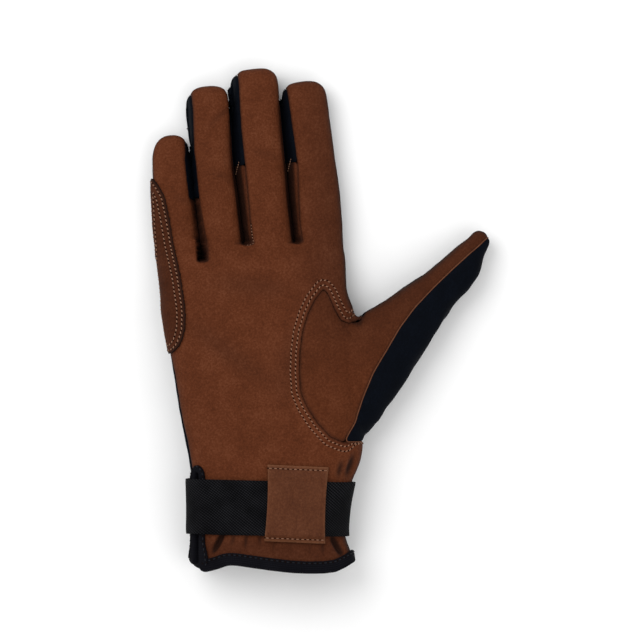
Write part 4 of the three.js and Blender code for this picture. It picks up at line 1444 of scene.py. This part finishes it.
@dataclass
class Relief:
    """What the seams, gathers and folds do to the skin.

    Slack, ripple and pucker are soft noise, whose run says how many times longer than wide it is and
    at what angle it lies.
    """

    seam_depth: float = 0.62 * MM
    seam_width: float = 1.25 * MM
    lap_step: float = 0.75 * MM
    lap_roll: float = 0.9 * MM
    lap_edge: float = 0.2 * MM
    lap_over: tuple[float, float] = (-0.35 * MM, 0.25 * MM)
    lap_fade: tuple[float, float] = (-9 * MM, -2 * MM)
    palm_side: tuple[float, float] = (-1.5 * MM, -0.4 * MM)
    thumb_side: tuple[float, float] = (-3 * MM, -0.6 * MM)
    row_depth: float = 0.14 * MM
    row_width: float = 0.7 * MM
    rows: tuple[float, float] = (2.1 * MM, 4.5 * MM)
    rolled_edge: float = 0.3 * MM
    slack: float = 0.32 * MM
    slack_size: float = 26 * MM
    slack_run: tuple[float, float] = (1.6, 0.7)
    ripple: float = 0.16 * MM
    ripple_size: float = 5.5 * MM
    ripple_run: tuple[float, float] = (2.6, 0.65)
    pucker: float = 0.75 * MM
    pucker_size: float = 8 * MM
    pucker_run: tuple[float, float] = (1.8, -0.8)
    cloth_edge: tuple[float, float] = (0.5 * MM, 2 * MM)
    closed_below: tuple[float, float] = (8 * MM, 10 * MM)

    def noise_field(self, places: np.ndarray, size: float, stretch: float, turn: float) -> np.ndarray:
        """Makes soft noise that is longer along one direction.

        Args:
            places: Places on the skin.
            size: The noise's size.
            stretch: How many times longer it is.
            turn: The long direction's angle from the x axis.

        Returns:
            A value from about -1 to 1 for each place.
        """
        cos, sin = math.cos(turn), math.sin(turn)
        along = (places[:, 0] * cos + places[:, 1] * sin) / (size * stretch)
        across = (places[:, 1] * cos - places[:, 0] * sin) / size
        up = places[:, 2] / size
        return np.array([noise.noise(spot) for spot in np.stack([along, across, up], 1)])

    def height(self, skin: Skin, hole: np.ndarray) -> np.ndarray:
        """Works out how far the skin moves out at each corner.

        Args:
            skin: The glove's surface.
            hole: The distance outside the thumb's keyhole, where the palm laps over the thumb.

        Returns:
            A height for each corner.
        """
        places = skin.co
        near = skin.distance
        lap = smoothstep(-near["palm_leather"], *self.palm_side) * smoothstep(
            -near["thumb_leather"], *self.thumb_side)
        between = np.maximum.reduce([slit.near(places[:, 0], places[:, 1]) for slit in SLITS])
        closed = between * (1 - smoothstep(places[:, 2], *self.closed_below))
        groove = -self.seam_depth * np.exp(-(skin.seam / self.seam_width) ** 2) * (1 - closed)
        under = -self.lap_step * smoothstep(-hole, *self.lap_over)
        fade = smoothstep(hole, *self.lap_fade)
        edge = -self.rolled_edge * np.exp(-((hole - self.lap_edge) / self.lap_roll) ** 2)
        lapped = under * fade + edge * (hole > 0)
        made = groove * (1 - lap) + lapped * lap + under * fade * (1 - lap) * (hole < 0)
        for row in self.rows:
            made -= self.row_depth * np.exp(-((hole - row) / self.row_width) ** 2)
        loose = 1 - between
        made += loose * self.slack * self.noise_field(places, self.slack_size, *self.slack_run)
        made += loose * self.ripple * self.noise_field(places, self.ripple_size, *self.ripple_run)
        cloth = 1 - smoothstep(near["thumb_fabric"], *self.cloth_edge)
        made += cloth * self.pucker * self.noise_field(places, self.pucker_size, *self.pucker_run)
        return made - self.folds(skin)

    @staticmethod
    def folds(skin: Skin) -> np.ndarray:
        """How deep the soft folds are at each corner, on the palm side alone."""
        facing = np.clip(skin.normals[:, 2] * 1.5, 0, 1)
        return -sum(crease.height(skin.co) for crease in CREASES) * facing


@dataclass
class PaintedShade:
    """Painted shade on the leather: darker in its seams, folds and slits and on its turned sides."""

    # Painted shade in the seam grooves
    seam: float = 0.8
    seam_width: float = 0.9 * MM
    # Painted shade in the slits and on the forks' feet below them
    slit: float = 0.95
    fork: float = 0.85
    fork_edge: tuple[float, float] = (-0.3 * MM, 0.5 * MM)
    fork_fade: tuple[float, float] = (1 * MM, 8 * MM)
    # Painted shade in the folds
    fold: float = 0.9
    fold_depth: float = 1.4 * MM
    # Painted shade where the key light falls off towards the index finger
    index_side: float = 0.36
    across: tuple[float, float] = (8 * MM, 45 * MM)
    along: tuple[float, float] = (-30 * MM, 30 * MM)
    # Painted shade on the cuff below the elastic, where it gathers
    hem: float = 0.4
    hem_fade: tuple[float, float] = (-99 * MM, -92 * MM)
    # Painted shade on the sides that turn away from the light, and a thin dark outline at the rims
    sides: float = 0.4
    sides_fade: tuple[float, float] = (0.25, 0.85)
    rims: float = 0.35
    rims_fade: tuple[float, float] = (0.02, 0.35)

    def pressed(self, skin: Skin, deep: np.ndarray) -> np.ndarray:
        """Paints shade into the seam grooves, the folds and the slits.

        Args:
            skin: The glove's surface, before its relief.
            deep: How far down each corner lies in a slit.

        Returns:
            A darkness from 0 to 1 for each corner.
        """
        y = skin.base[:, 1]
        for slit, node in zip(SLITS, FORK_NODES):
            low, high = (slit.bottom + step for step in self.fork_fade)
            foot = smoothstep(skin.fields[node], *self.fork_edge) * (1 - smoothstep(y, low, high))
            deep = np.maximum(deep, self.fork * foot)
        folded = np.clip(Relief.folds(skin) / self.fold_depth, 0, self.fold)
        seams = self.seam * np.exp(-(skin.seam / self.seam_width) ** 2)
        return np.maximum.reduce([seams, self.slit * deep, folded])

    def turned(self, skin: Skin) -> np.ndarray:
        """Paints shade on the index side, the hem and the sides turned from the light.

        Args:
            skin: The glove's surface, with its relief.

        Returns:
            A darkness from 0 to about 1 for each corner.
        """
        x, y, up = skin.base[:, 0], skin.base[:, 1], skin.normals[:, 2]
        tone = self.index_side * smoothstep(x, *self.across) * smoothstep(y, *self.along)
        tone += self.hem * (1 - smoothstep(y, *self.hem_fade))
        tone += self.sides * (1 - smoothstep(up, *self.sides_fade))
        return tone + self.rims * (1 - smoothstep(up, *self.rims_fade))


class Dresser:
    """Gives pieces their place in the frame and their finish."""

    def __init__(self) -> None:
        """Starts with no materials made."""
        self.made: dict[str, bpy.types.Material] = {}

    def dress(self, piece: bpy.types.Object, finish: Leather | Textile | Thread,
              replaces: Sequence[str] = ()) -> bpy.types.Object:
        """Finishes a piece and lets it ride on the glove.

        Args:
            piece: The piece.
            finish: Its finish.
            replaces: The frame's nodes that it stands for.

        Returns:
            The piece.
        """
        if finish.name not in self.made:
            self.made[finish.name] = finish.material()
        places = np.zeros(len(piece.data.vertices) * 3, np.float32)
        piece.data.vertices.foreach_get("co", places)
        places[2::3] = np.maximum(places[2::3], REST_GAP)
        piece.data.vertices.foreach_set("co", places)
        piece.data.update()
        piece.data.materials.clear()
        piece.data.materials.append(self.made[finish.name])
        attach(piece, "root")
        if replaces:
            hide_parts(*replaces)
        LOG.info("%s: %d faces from %s to %s mm", piece.name, len(piece.data.polygons),
                 [round(v / MM, 1) for v in piece.bound_box[0]],
                 [round(v / MM, 1) for v in piece.bound_box[6]])
        return piece


def thicken(piece: bpy.types.Object, thickness: float) -> None:
    """Gives an open piece its wall, inwards from its face.

    Args:
        piece: The piece.
        thickness: The wall's thickness.
    """
    wall = piece.modifiers.new("wall", "SOLIDIFY")
    wall.thickness = thickness
    wall.offset = -1.0
    wall.use_even_offset = False


@dataclass
class Panels:
    """The leather and cloth panels that are sewn into the hand."""

    gap: float = 0.1 * MM

    PIECES = {
        "palm_leather": ("palm_panel", PALM_NUBUCK, "palm_leather"),
        "thumb_leather": ("thumb_panel", THUMB_NUBUCK, "palm_leather"),
        "gusset_little_ring": ("fork_little_ring", PALM_NUBUCK, "palm_leather"),
        "gusset_ring_middle": ("fork_ring_middle", PALM_NUBUCK, "palm_leather"),
        "gusset_middle_index": ("fork_middle_index", PALM_NUBUCK, "palm_leather"),
        "back_fabric": ("back_panel", SOFTSHELL, "stretch_fabric"),
        "thumb_fabric": ("thumb_cloth", SOFTSHELL, "stretch_fabric"),
        "little_inner_strip": ("little_side", SOFTSHELL, "stretch_fabric"),
        "ring_outer_strip": ("ring_side_outer", SOFTSHELL, "stretch_fabric"),
        "ring_inner_strip": ("ring_side_inner", SOFTSHELL, "stretch_fabric"),
        "middle_outer_strip": ("middle_side_outer", SOFTSHELL, "stretch_fabric"),
        "middle_inner_strip": ("middle_side_inner", SOFTSHELL, "stretch_fabric"),
        "index_outer_strip": ("index_side", SOFTSHELL, "stretch_fabric"),
    }

    def build(self, skin: Skin, dresser: Dresser, painted_darkness: np.ndarray) -> None:
        """Cuts every panel from the skin and gives it its wall.

        Args:
            skin: The glove's surface.
            dresser: Finishes the panels.
            painted_darkness: How much shade is painted into the leather at each corner, from 0 to 1.
        """
        for node, (name, finish, slot) in self.PIECES.items():
            # The attribute seam carries the painted shade into each panel's colour
            part = skin.cut([skin.fields[node] - self.gap, skin.shell], {"seam": painted_darkness})
            piece = finished(name, part)
            thicken(piece, WALL)
            dresser.dress(piece, finish, [node])


def sweep(
    line: Line, profile: np.ndarray, across: Sequence[float] | np.ndarray, towards: float = 1.0,
) -> bmesh.types.BMesh:
    """Carries a closed outline along a line on the skin.

    Args:
        line: The line.
        profile: Its outline, as shares of the width aside, steps aside and steps out of the skin.
        across: The signed width at each point of the line.
        towards: The side of the steps aside.

    Returns:
        A closed mesh.
    """
    _, aside = line.frames()
    count, sides = len(line.points), len(profile)
    scale = np.broadcast_to(np.asarray(across, float), (count,))
    steps = count if line.closed else count - 1

    def place(u: np.ndarray, v: np.ndarray) -> np.ndarray:
        """Finds where the grid's corners go.

        Args:
            u: Shares along the line.
            v: Shares round the outline.

        Returns:
            A place for each.
        """
        i = np.rint(u * steps).astype(int) % count
        j = np.rint(v * sides).astype(int) % sides
        step = profile[j, 0] * scale[i] + profile[j, 1] * towards
        return line.points[i] + aside[i] * step[:, None] + line.normals[i] * profile[j, 2][:, None]

    around = profile[:, [0, 2]] * (float(np.abs(scale).max()), 1)
    turn = float(np.linalg.norm(np.diff(around, axis=0), axis=1).sum())
    return mapped_grid(steps, sides, place, (line.length(), turn), closed=True)


@dataclass
class Stitching:
    """A row of stitches along a line."""

    pitch: float = 2.1 * MM
    length: float = 1.5 * MM
    width: float = 0.62 * MM
    height: float = 0.5 * MM
    slant: float = 0.0
    lift: float = 0.05 * MM
    hole: float = 0.85 * MM
    hole_rim: float = 0.12 * MM

    def build(self, name: str, lines: Sequence[Line], dresser: Dresser, finish: Thread) -> None:
        """Sews one stitch for every pitch of each line, with a needle hole's painted shade before it.

        Args:
            name: The piece's name, which ends in stitches.
            lines: The lines to sew along.
            dresser: Finishes the thread and the holes.
            finish: The thread.
        """
        sewn, pricked = bmesh.new(), bmesh.new()
        shape = Matrix.Diagonal((self.length / 2, self.width / 2, self.height / 2, 1))
        dent = Matrix.Diagonal((self.hole / 2, self.hole / 2, self.hole_rim, 1))
        turn = Matrix.Rotation(self.slant, 4, "Z")
        for line in lines:
            even = line.even(self.pitch, 0)
            ahead, aside = even.frames()
            for spot, up, along, left in zip(even.points, even.normals, ahead, aside):
                basis = Matrix((along, left, up)).transposed().to_4x4()
                place = Matrix.Translation(Vector(spot) + Vector(up) * self.lift)
                bmesh.ops.create_uvsphere(
                    sewn, u_segments=6, v_segments=5, radius=1,
                    matrix=place @ basis @ turn @ shape)
                # A flat dark lens on the skin: the painted shade inside the needle hole
                before = Matrix.Translation(Vector(spot) - Vector(along) * self.pitch / 2)
                bmesh.ops.create_uvsphere(
                    pricked, u_segments=6, v_segments=4, radius=1, matrix=before @ basis @ dent)
        dresser.dress(finished(name, sewn), finish)
        dresser.dress(finished(name.replace("stitches", "needle_hole_shadows"), pricked), PRICKED)


@dataclass
class SidePatch:
    """The second layer of leather along the little finger's side."""

    reach: float = 1.0 * MM
    rows: tuple[float, float] = (1.5 * MM, 3.9 * MM)
    edge_roll: float = 0.35 * MM
    row_depth: float = 0.12 * MM
    row_width: float = 0.7 * MM
    dark_width: float = 0.9 * MM

    def build(self, skin: Skin, dresser: Dresser) -> None:
        """Cuts the patch from the skin, lays it on the palm and sews it down.

        Args:
            skin: The glove's surface.
            dresser: Finishes the patch and its thread.
        """
        layer = CLEARANCE + PATCH_THICKNESS / 2
        cover = skin.faired(self.reach - skin.distance_to("side_patch", layer), 8)
        edge = skin.line(cover)
        inside = skin.away_from(edge, cover)
        rolled = -self.edge_roll * np.exp(-(inside / self.row_width) ** 2)
        for row in self.rows:
            rolled -= self.row_depth * np.exp(-((inside - row) / self.row_width) ** 2)
        # Painted shade along the patch's rolled edge, mixed in by the attribute seam
        painted_darkness = np.exp(-(inside / self.dark_width) ** 2)
        part = skin.cut([inside], {"seam": painted_darkness, "lift": rolled})
        lift = part.verts.layers.float["lift"]
        part.normal_update()
        out = CLEARANCE + PATCH_THICKNESS
        moves = [corner.normal * (out + corner[lift]) for corner in part.verts]
        for corner, move in zip(part.verts, moves):
            corner.co += move
        piece = finished("side_patch_panel", part)
        thicken(piece, PATCH_THICKNESS)
        dresser.dress(piece, PATCH_NUBUCK, ["side_patch"])
        lines = []
        for row in self.rows:
            line = skin.line(inside, row)
            line.points = line.points + line.normals * out
            lines.append(line)
        Stitching(slant=0.35, lift=0.0).build("patch_stitches", lines, dresser, TAN_THREAD)


@dataclass
class Binding:
    """One tape folded over the hem and over both edges of the vent."""

    hem_width: float = 4.9 * MM
    vent_width: float = 2.7 * MM
    nose: float = 1.12 * MM
    step: float = 0.8 * MM
    fairing: int = 10
    evening: int = 14
    vent_reach: float = 6 * MM
    vent_start: tuple[float, float] = (-105 * MM, -99 * MM)
    row_at: float = 0.8

    def outline(self) -> np.ndarray:
        """Draws the folded tape in section.

        Returns:
            Its points, as shares of the width aside, steps aside and steps out of the skin.
        """
        outer, inner = HEM_STACK, -WALL - HEM_STACK
        middle = (outer + inner) / 2
        points = [(1.0, 0, outer - 0.4 * MM), (0.94, 0, outer - 0.05 * MM),
                  (0.78, 0, outer - 0.12 * MM), (0.6, 0, outer + 0.1 * MM),
                  (0.3, 0, outer + 0.05 * MM), (0.0, 0, outer)]
        for angle in np.radians(np.arange(20, 180, 20)):
            out = middle + (outer - middle) * math.cos(angle)
            points.append((0, -self.nose * math.sin(angle), out))
        points += [(share, 0, inner) for share in (0.0, 0.5, 1.0)]
        points += [(share, 0, inner + BINDING_THICKNESS) for share in (1.0, 0.5, 0.0)]
        points += [(share, 0, CLEARANCE) for share in (0.0, 0.5, 1.0)]
        return np.array(points)

    def build(self, skin: Skin, dresser: Dresser) -> None:
        """Folds the tape round the edge of the shell and stitches it.

        Args:
            skin: The glove's surface.
            dresser: Finishes the tape and its thread.
        """
        edge = skin.line(skin.shell).even(self.step, self.fairing)
        _, aside = edge.frames()
        vent = smoothstep(edge.points[:, 1], *self.vent_start) * (
            np.abs(edge.points[:, 0] - hand_x(VENT_ACROSS)) < self.vent_reach)
        wide = self.hem_width + (self.vent_width - self.hem_width) * vent
        beside = skin.tree().find_nearest(Vector(edge.points[0] + aside[0] * 3 * MM))[0]
        inward = 1.0 if self._inside(skin, beside) else -1.0
        for _ in range(self.evening):
            facing = edge.normals + np.roll(edge.normals, 1, 0) + np.roll(edge.normals, -1, 0)
            edge.normals = facing / np.linalg.norm(facing, axis=1)[:, None]
            wide = (wide + np.roll(wide, 1) + np.roll(wide, -1)) / 3
        piece = finished("cuff_tape", sweep(edge, self.outline(), wide * inward, inward))
        dresser.dress(piece, BINDING_TAPE, ["cuff_binding"])
        _, aside = edge.frames()
        row = Line(edge.points + aside * (wide * inward * self.row_at)[:, None]
                   + edge.normals * (HEM_STACK + 0.02 * MM), edge.normals, True)
        Stitching(pitch=2.6 * MM).build("cuff_stitches", [row], dresser, DARK_THREAD)

    @staticmethod
    def _inside(skin: Skin, spot: Vector) -> bool:
        """Whether a place on the skin lies on the shell."""
        away = np.linalg.norm(skin.co - np.array(spot), axis=1)
        return bool(skin.shell[int(away.argmin())] > 0)


@dataclass
class Elastic:
    """The woven elastic round the wrist."""

    step: float = 0.9 * MM
    edge_roll: float = 0.3 * MM
    edge_width: float = 0.7 * MM
    vent_bulge: float = 1.35 * MM
    vent_reach: float = 6 * MM
    rays: int = 721
    smoothing: int = 3

    def build(self, dresser: Dresser, tree: BVHTree) -> BVHTree:
        """Lays the band on the wrist.

        Args:
            dresser: Finishes the piece.
            tree: A search tree over the skin.

        Returns:
            A search tree over the band's outer face.
        """
        low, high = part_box("wrist_elastic")
        slope = ELASTIC_SLANT
        reach = (high.x - low.x) / 2 * abs(slope)
        bottom, top = low.y + reach, high.y - reach
        centre_x, centre_z = (low.x + high.x) / 2, (low.z + high.z) / 2
        y0 = (bottom + top) / 2

        def hit(angle: float, y: float) -> tuple[Vector, Vector]:
            """Looks out from the wrist's middle.

            Args:
                angle: The direction round the wrist.
                y: The height along the hand.

            Returns:
                The skin's place and normal there.
            """
            way = Vector((math.cos(angle), 0, math.sin(angle)))
            spot, normal, _, _ = tree.ray_cast(Vector((centre_x, y, centre_z)), way)
            return spot, normal

        angles = np.linspace(0, math.tau, self.rays)
        ring = np.array([hit(angle, y0)[0] for angle in angles])
        run = np.concatenate([[0], np.cumsum(np.linalg.norm(np.diff(ring, axis=0), axis=1))])
        columns = int(run[-1] / self.step)
        rows = int((top - bottom) / self.step)

        def place(u: np.ndarray, v: np.ndarray) -> np.ndarray:
            """Finds where the grid's corners go.

            Args:
                u: Shares round the wrist.
                v: Shares across the band.

            Returns:
                A place for each.
            """
            out = np.zeros((len(u), 3))
            for i, (around, across) in enumerate(zip(u, v)):
                angle = float(np.interp(around * run[-1], run, angles)) % math.tau
                x = float(np.interp(around * run[-1], run, ring[:, 0]))
                y = bottom + (top - bottom) * across + slope * (x - centre_x)
                spot, normal = hit(angle, y)
                rim = min(across, 1 - across) * (top - bottom)
                roll = self.edge_roll * math.exp(-((rim / self.edge_width) ** 2))
                vent = abs(spot.x - hand_x(VENT_ACROSS)) / self.vent_reach
                bulge = self.vent_bulge * math.exp(-(vent**4)) if spot.z > centre_z else 0.0
                out[i] = spot + normal * (STRAP_STACK - roll + bulge)
            return out

        band = mapped_grid(columns, rows, place, (run[-1], top - bottom))
        bmesh.ops.remove_doubles(band, verts=band.verts, dist=WELD)
        bmesh.ops.recalc_face_normals(band, faces=band.faces)
        for _ in range(self.smoothing):
            bmesh.ops.smooth_vert(band, verts=[v for v in band.verts if not v.is_boundary],
                                  factor=0.5, use_axis_x=True, use_axis_y=True, use_axis_z=True)
        outer = BVHTree.FromBMesh(band)
        piece = finished("wrist_band", band)
        thicken(piece, ELASTIC_THICKNESS)
        dresser.dress(piece, ELASTIC_WEAVE, ["wrist_elastic"])
        return outer


@dataclass
class Keeper:
    """The leather tab over the elastic, sewn down above and below it."""

    step: float = 0.75 * MM
    inset: float = 1.7 * MM
    side_inset: float = 1.5 * MM
    drape_steps: int = 10
    waist: float = 0.05
    edge_roll: float = 0.28 * MM
    edge_width: float = 0.8 * MM
    sewn_depth: float = 0.3 * MM
    sewn_width: float = 0.9 * MM
    pale: float = 0.9
    row_points: int = 40

    def build(self, dresser: Dresser, skin_tree: BVHTree, band_tree: BVHTree) -> None:
        """Drapes the tab over the wrist and the elastic, and sews it.

        Args:
            dresser: Finishes the tab and its thread.
            skin_tree: A search tree over the skin.
            band_tree: A search tree over the elastic's outer face.
        """
        centre = Vector((hand_x(TAB_ACROSS), hand_y(TAB_AT), 0))
        turn = Matrix.Rotation(TAB_TURN, 3, "Z")
        columns, rows = int(TAB_WIDTH / self.step), int(TAB_LENGTH / self.step)
        from_above = Vector((0, 0, 0.1))
        down = Vector((0, 0, -1))

        def place(u: np.ndarray, v: np.ndarray) -> np.ndarray:
            """Finds where the grid's corners lie after the tab has settled.

            Args:
                u: Shares of the tab's width.
                v: Shares of its length.

            Returns:
                A place for each.
            """
            narrow = 1 - self.waist * (1 - (2 * v - 1) ** 2)
            flat = [centre + turn @ Vector(((a - 0.5) * TAB_WIDTH * n, (b - 0.5) * TAB_LENGTH, 0))
                    for a, b, n in zip(u, v, narrow)]
            heights = np.zeros((rows + 1, columns + 1))
            i, j = np.rint(v * rows).astype(int), np.rint(u * columns).astype(int)
            for spot, row, column in zip(flat, i, j):
                hits = [t.ray_cast(spot + from_above, down)[0] for t in (skin_tree, band_tree)]
                heights[row, column] = max(hit.z for hit in hits if hit is not None)
            floor = heights.copy()
            for _ in range(self.drape_steps):
                padded = np.pad(heights, 1, mode="edge")
                mean = (padded[:-2, 1:-1] + padded[2:, 1:-1] + padded[1:-1, :-2]
                        + padded[1:-1, 2:]) / 4
                heights = np.maximum(mean, floor)
            rim = np.minimum.reduce([u, 1 - u]) * TAB_WIDTH
            end = np.minimum(v, 1 - v) * TAB_LENGTH
            roll = self.edge_roll * (
                np.exp(-(rim / self.edge_width) ** 2) + np.exp(-(end / self.edge_width) ** 2))
            sewn = self.sewn_depth * np.exp(-((end - self.inset) / self.sewn_width) ** 2)
            z = heights[i, j] + CLEARANCE + TAB_THICKNESS - roll - sewn
            return np.array([(spot.x, spot.y, height) for spot, height in zip(flat, z)])

        sheet = mapped_grid(columns, rows, place, (TAB_WIDTH, TAB_LENGTH))
        bmesh.ops.recalc_face_normals(sheet, faces=sheet.faces)
        if sum(face.normal.z for face in sheet.faces) < 0:
            bmesh.ops.reverse_faces(sheet, faces=sheet.faces)
        seam = sheet.verts.layers.float.new("seam")
        for corner in sheet.verts:
            local = turn.transposed() @ (corner.co - centre)
            rim = min(TAB_WIDTH / 2 - abs(local.x), TAB_LENGTH / 2 - abs(local.y))
            corner[seam] = self.pale * math.exp(-((rim / self.edge_width) ** 2))
        tree = BVHTree.FromBMesh(sheet)
        piece = finished("keeper_tab", sheet)
        thicken(piece, TAB_THICKNESS)
        dresser.dress(piece, TAB_NUBUCK, ["elastic_tab"])
        lines = []
        for end in (-1, 1):
            half = TAB_WIDTH / 2 - self.side_inset
            spots = [centre + turn @ Vector((x, end * (TAB_LENGTH / 2 - self.inset), 0))
                     for x in np.linspace(-half, half, self.row_points)]
            hits = [tree.ray_cast(spot + from_above, down) for spot in spots]
            lines.append(Line(np.array([h[0] for h in hits]), np.array([h[1] for h in hits]), False))
        Stitching(pitch=2.45 * MM, length=1.6 * MM, width=0.5 * MM, height=0.5 * MM).build(
            "keeper_stitches", lines, dresser, TAN_THREAD)


@dataclass
class SeamTrim:
    """Rows of thread and the fine piping that show along the panels' seams."""

    rows: tuple[float, float] = (2.1 * MM, 4.5 * MM)
    piping: float = 0.32 * MM
    piping_step: float = 1.0 * MM
    piping_up: float = 0.1
    row_up: float = 0.15
    row_above: float = 10 * MM
    rim_up: float = 0.2
    rim_reach: float = 9 * MM
    rim_beside: float = 0.45 * MM
    tack_ends: tuple[tuple[float, float], ...] = ((1.2 * MM, -4 * MM), (2.6 * MM, 1.5 * MM))

    def build(self, skin: Skin, dresser: Dresser, hole: np.ndarray) -> None:
        """Sews the keyhole's double row, the thumb's piping and the forks.

        Args:
            skin: The glove's surface.
            dresser: Finishes thread and piping.
            hole: The distance outside the thumb's keyhole.
        """
        self._keyhole(skin, dresser, hole)
        self._piping(skin, dresser)
        self._forks(skin, dresser)

    def _keyhole(self, skin: Skin, dresser: Dresser, hole: np.ndarray) -> None:
        """Sews the double row round the thumb's keyhole.

        Args:
            skin: The glove's surface.
            dresser: Finishes the thread.
            hole: The distance outside the keyhole.
        """
        lines = []
        for row in self.rows:
            line = skin.line(hole, row)
            keep = (line.normals[:, 2] > self.row_up) & (line.points[:, 2] > self.row_above)
            lines.append(line.part(keep))
        Stitching(slant=0.5, lift=0.0).build(
            "keyhole_stitches", lines, dresser, TAN_THREAD)

    def _piping(self, skin: Skin, dresser: Dresser) -> None:
        """Lays the fine piping between the thumb's leather and its cloth.

        Args:
            skin: The glove's surface.
            dresser: Finishes the piping.
        """
        piped = skin.line(skin.fields["thumb_fabric"])
        top = piped.part(piped.normals[:, 2] > self.piping_up).even(self.piping_step)
        angles = np.radians(np.arange(0, 360, 45))
        outline = np.stack([0 * angles, np.cos(angles), np.sin(angles)], 1) * self.piping
        piece = finished("thumb_piping", sweep(top, outline, [1.0]))
        dresser.dress(piece, PIPING_NUBUCK)

    def _forks(self, skin: Skin, dresser: Dresser) -> None:
        """Sews the short tacks at the forks' ends and the rim of the middle slit.

        Args:
            skin: The glove's surface.
            dresser: Finishes the thread.
        """
        tree = skin.tree()
        tacks = []
        for slit in SLITS[1:]:
            x0, y0 = slit.line(slit.fork_end), slit.fork_end
            ends = [(x0 + aside, y0 + ahead) for aside, ahead in self.tack_ends]
            spots = [tree.ray_cast(Vector((x, y, 0.1)), Vector((0, 0, -1))) for x, y in ends]
            tacks.append(Line(np.array([spot[0] for spot in spots]),
                              np.array([spot[1] for spot in spots]), False))
        Stitching(pitch=1.3 * MM, length=1.2 * MM, width=0.4 * MM).build(
            "tack_stitches", tacks, dresser, TAN_THREAD)
        fork = skin.line(skin.fields["gusset_ring_middle"], -self.rim_beside)
        last = SLITS[1].bottom + self.rim_reach
        keep = (fork.normals[:, 2] > self.rim_up) & (fork.points[:, 1] < last)
        Stitching(pitch=1.5 * MM, length=0.9 * MM, width=0.35 * MM, lift=0.02 * MM).build(
            "fork_stitches", [fork.part(keep)], dresser, TAN_THREAD)


@dataclass
class Studio:
    """A pale floor, soft light from above and a long lens over the palm."""

    distance: float = 2.5
    seen: float = 311 * MM
    centre: tuple[float, float] = (31.6 * MM, 9.7 * MM)
    sensor: float = 36.0
    air: float = 0.86
    grain: float = 40 * MM

    def floor(self) -> None:
        """Lays the floor."""
        made = bmesh.new()
        bmesh.ops.create_grid(made, x_segments=8, y_segments=8, size=6)
        ground = finished("floor", made)
        material = bpy.data.materials.new("studio_card_pale")
        material.use_nodes = True
        tree = material.node_tree
        tree.nodes.clear()
        here = add(tree, "TexCoord").outputs["Object"]
        grain = add(tree, "TexNoise", inputs={"Vector": here, "Scale": 1 / self.grain})
        colour = ramp(tree, grain.outputs[0], ((0.3, "#f2f2f2"), (0.7, "#f5f5f5")))
        shader = add(tree, "BsdfPrincipled", inputs={
            "Base Color": colour, "Roughness": 0.9, "Specular IOR Level": 0.1})
        add(tree, "OutputMaterial", inputs={0: shader.outputs[0]})
        ground.data.materials.append(material)

    def light(self, name: str, place: tuple[float, float, float], size: float, power: float) -> None:
        """Hangs one soft light that looks at the glove.

        Args:
            name: Its name.
            place: Where it hangs.
            size: How wide it is.
            power: Its power in watts.
        """
        lamp = bpy.data.lights.new(name, "AREA")
        lamp.shape = "DISK"
        lamp.size = size
        lamp.energy = power
        holder = bpy.data.objects.new(name, lamp)
        holder.location = place
        holder.rotation_mode = "QUATERNION"
        holder.rotation_quaternion = (-Vector(place)).to_track_quat("-Z", "Y")
        bpy.context.scene.collection.objects.link(holder)

    def build(self) -> None:
        """Sets up floor, lights, air and camera."""
        self.floor()
        self.light("key", (-0.55, 0.5, 1.1), 1.0, 8)
        self.light("fill", (1.1, -0.6, 1.6), 1.6, 5)
        world = bpy.data.worlds.new("studio_air")
        world.use_nodes = True
        sky = world.node_tree.nodes["Background"]
        sky.inputs[0].default_value = (1, 1, 1, 1)
        sky.inputs[1].default_value = self.air
        bpy.context.scene.world = world
        bpy.context.scene.view_settings.view_transform = "Standard"
        lens = bpy.data.cameras.new("camera")
        lens.sensor_width = self.sensor
        lens.lens = self.sensor * (self.distance - PALM_DEPTH / 2) / self.seen
        lens.clip_end = 20
        camera = bpy.data.objects.new("camera", lens)
        camera.location = (*self.centre, self.distance)
        bpy.context.scene.collection.objects.link(camera)
        bpy.context.scene.camera = camera


def main() -> None:
    """Builds the glove piece by piece and reports each."""
    logging.basicConfig(level=logging.INFO, format="%(message)s")
    noise.seed_set(SEED)
    Studio().build()
    skin = Skin()
    LOG.info("skin: %d corners", len(skin.mesh.vertices))
    dresser = Dresser()
    hole = skin.keyhole()
    # Painted shade for the leather: dark in seams, folds and slits and on sides turned from the light
    painted_shade = PaintedShade()
    pressed = painted_shade.pressed(skin, skin.press_forks())
    smooth = skin.tree()
    skin.move(Relief().height(skin, hole))
    Panels().build(skin, dresser, np.maximum(pressed, painted_shade.turned(skin)))
    SidePatch().build(skin, dresser)
    Binding().build(skin, dresser)
    band = Elastic().build(dresser, smooth)
    Keeper().build(dresser, skin.tree(), band)
    SeamTrim().build(skin, dresser, hole)
    bpy.data.meshes.remove(skin.mesh)


if __name__ == "__main__":
    main()
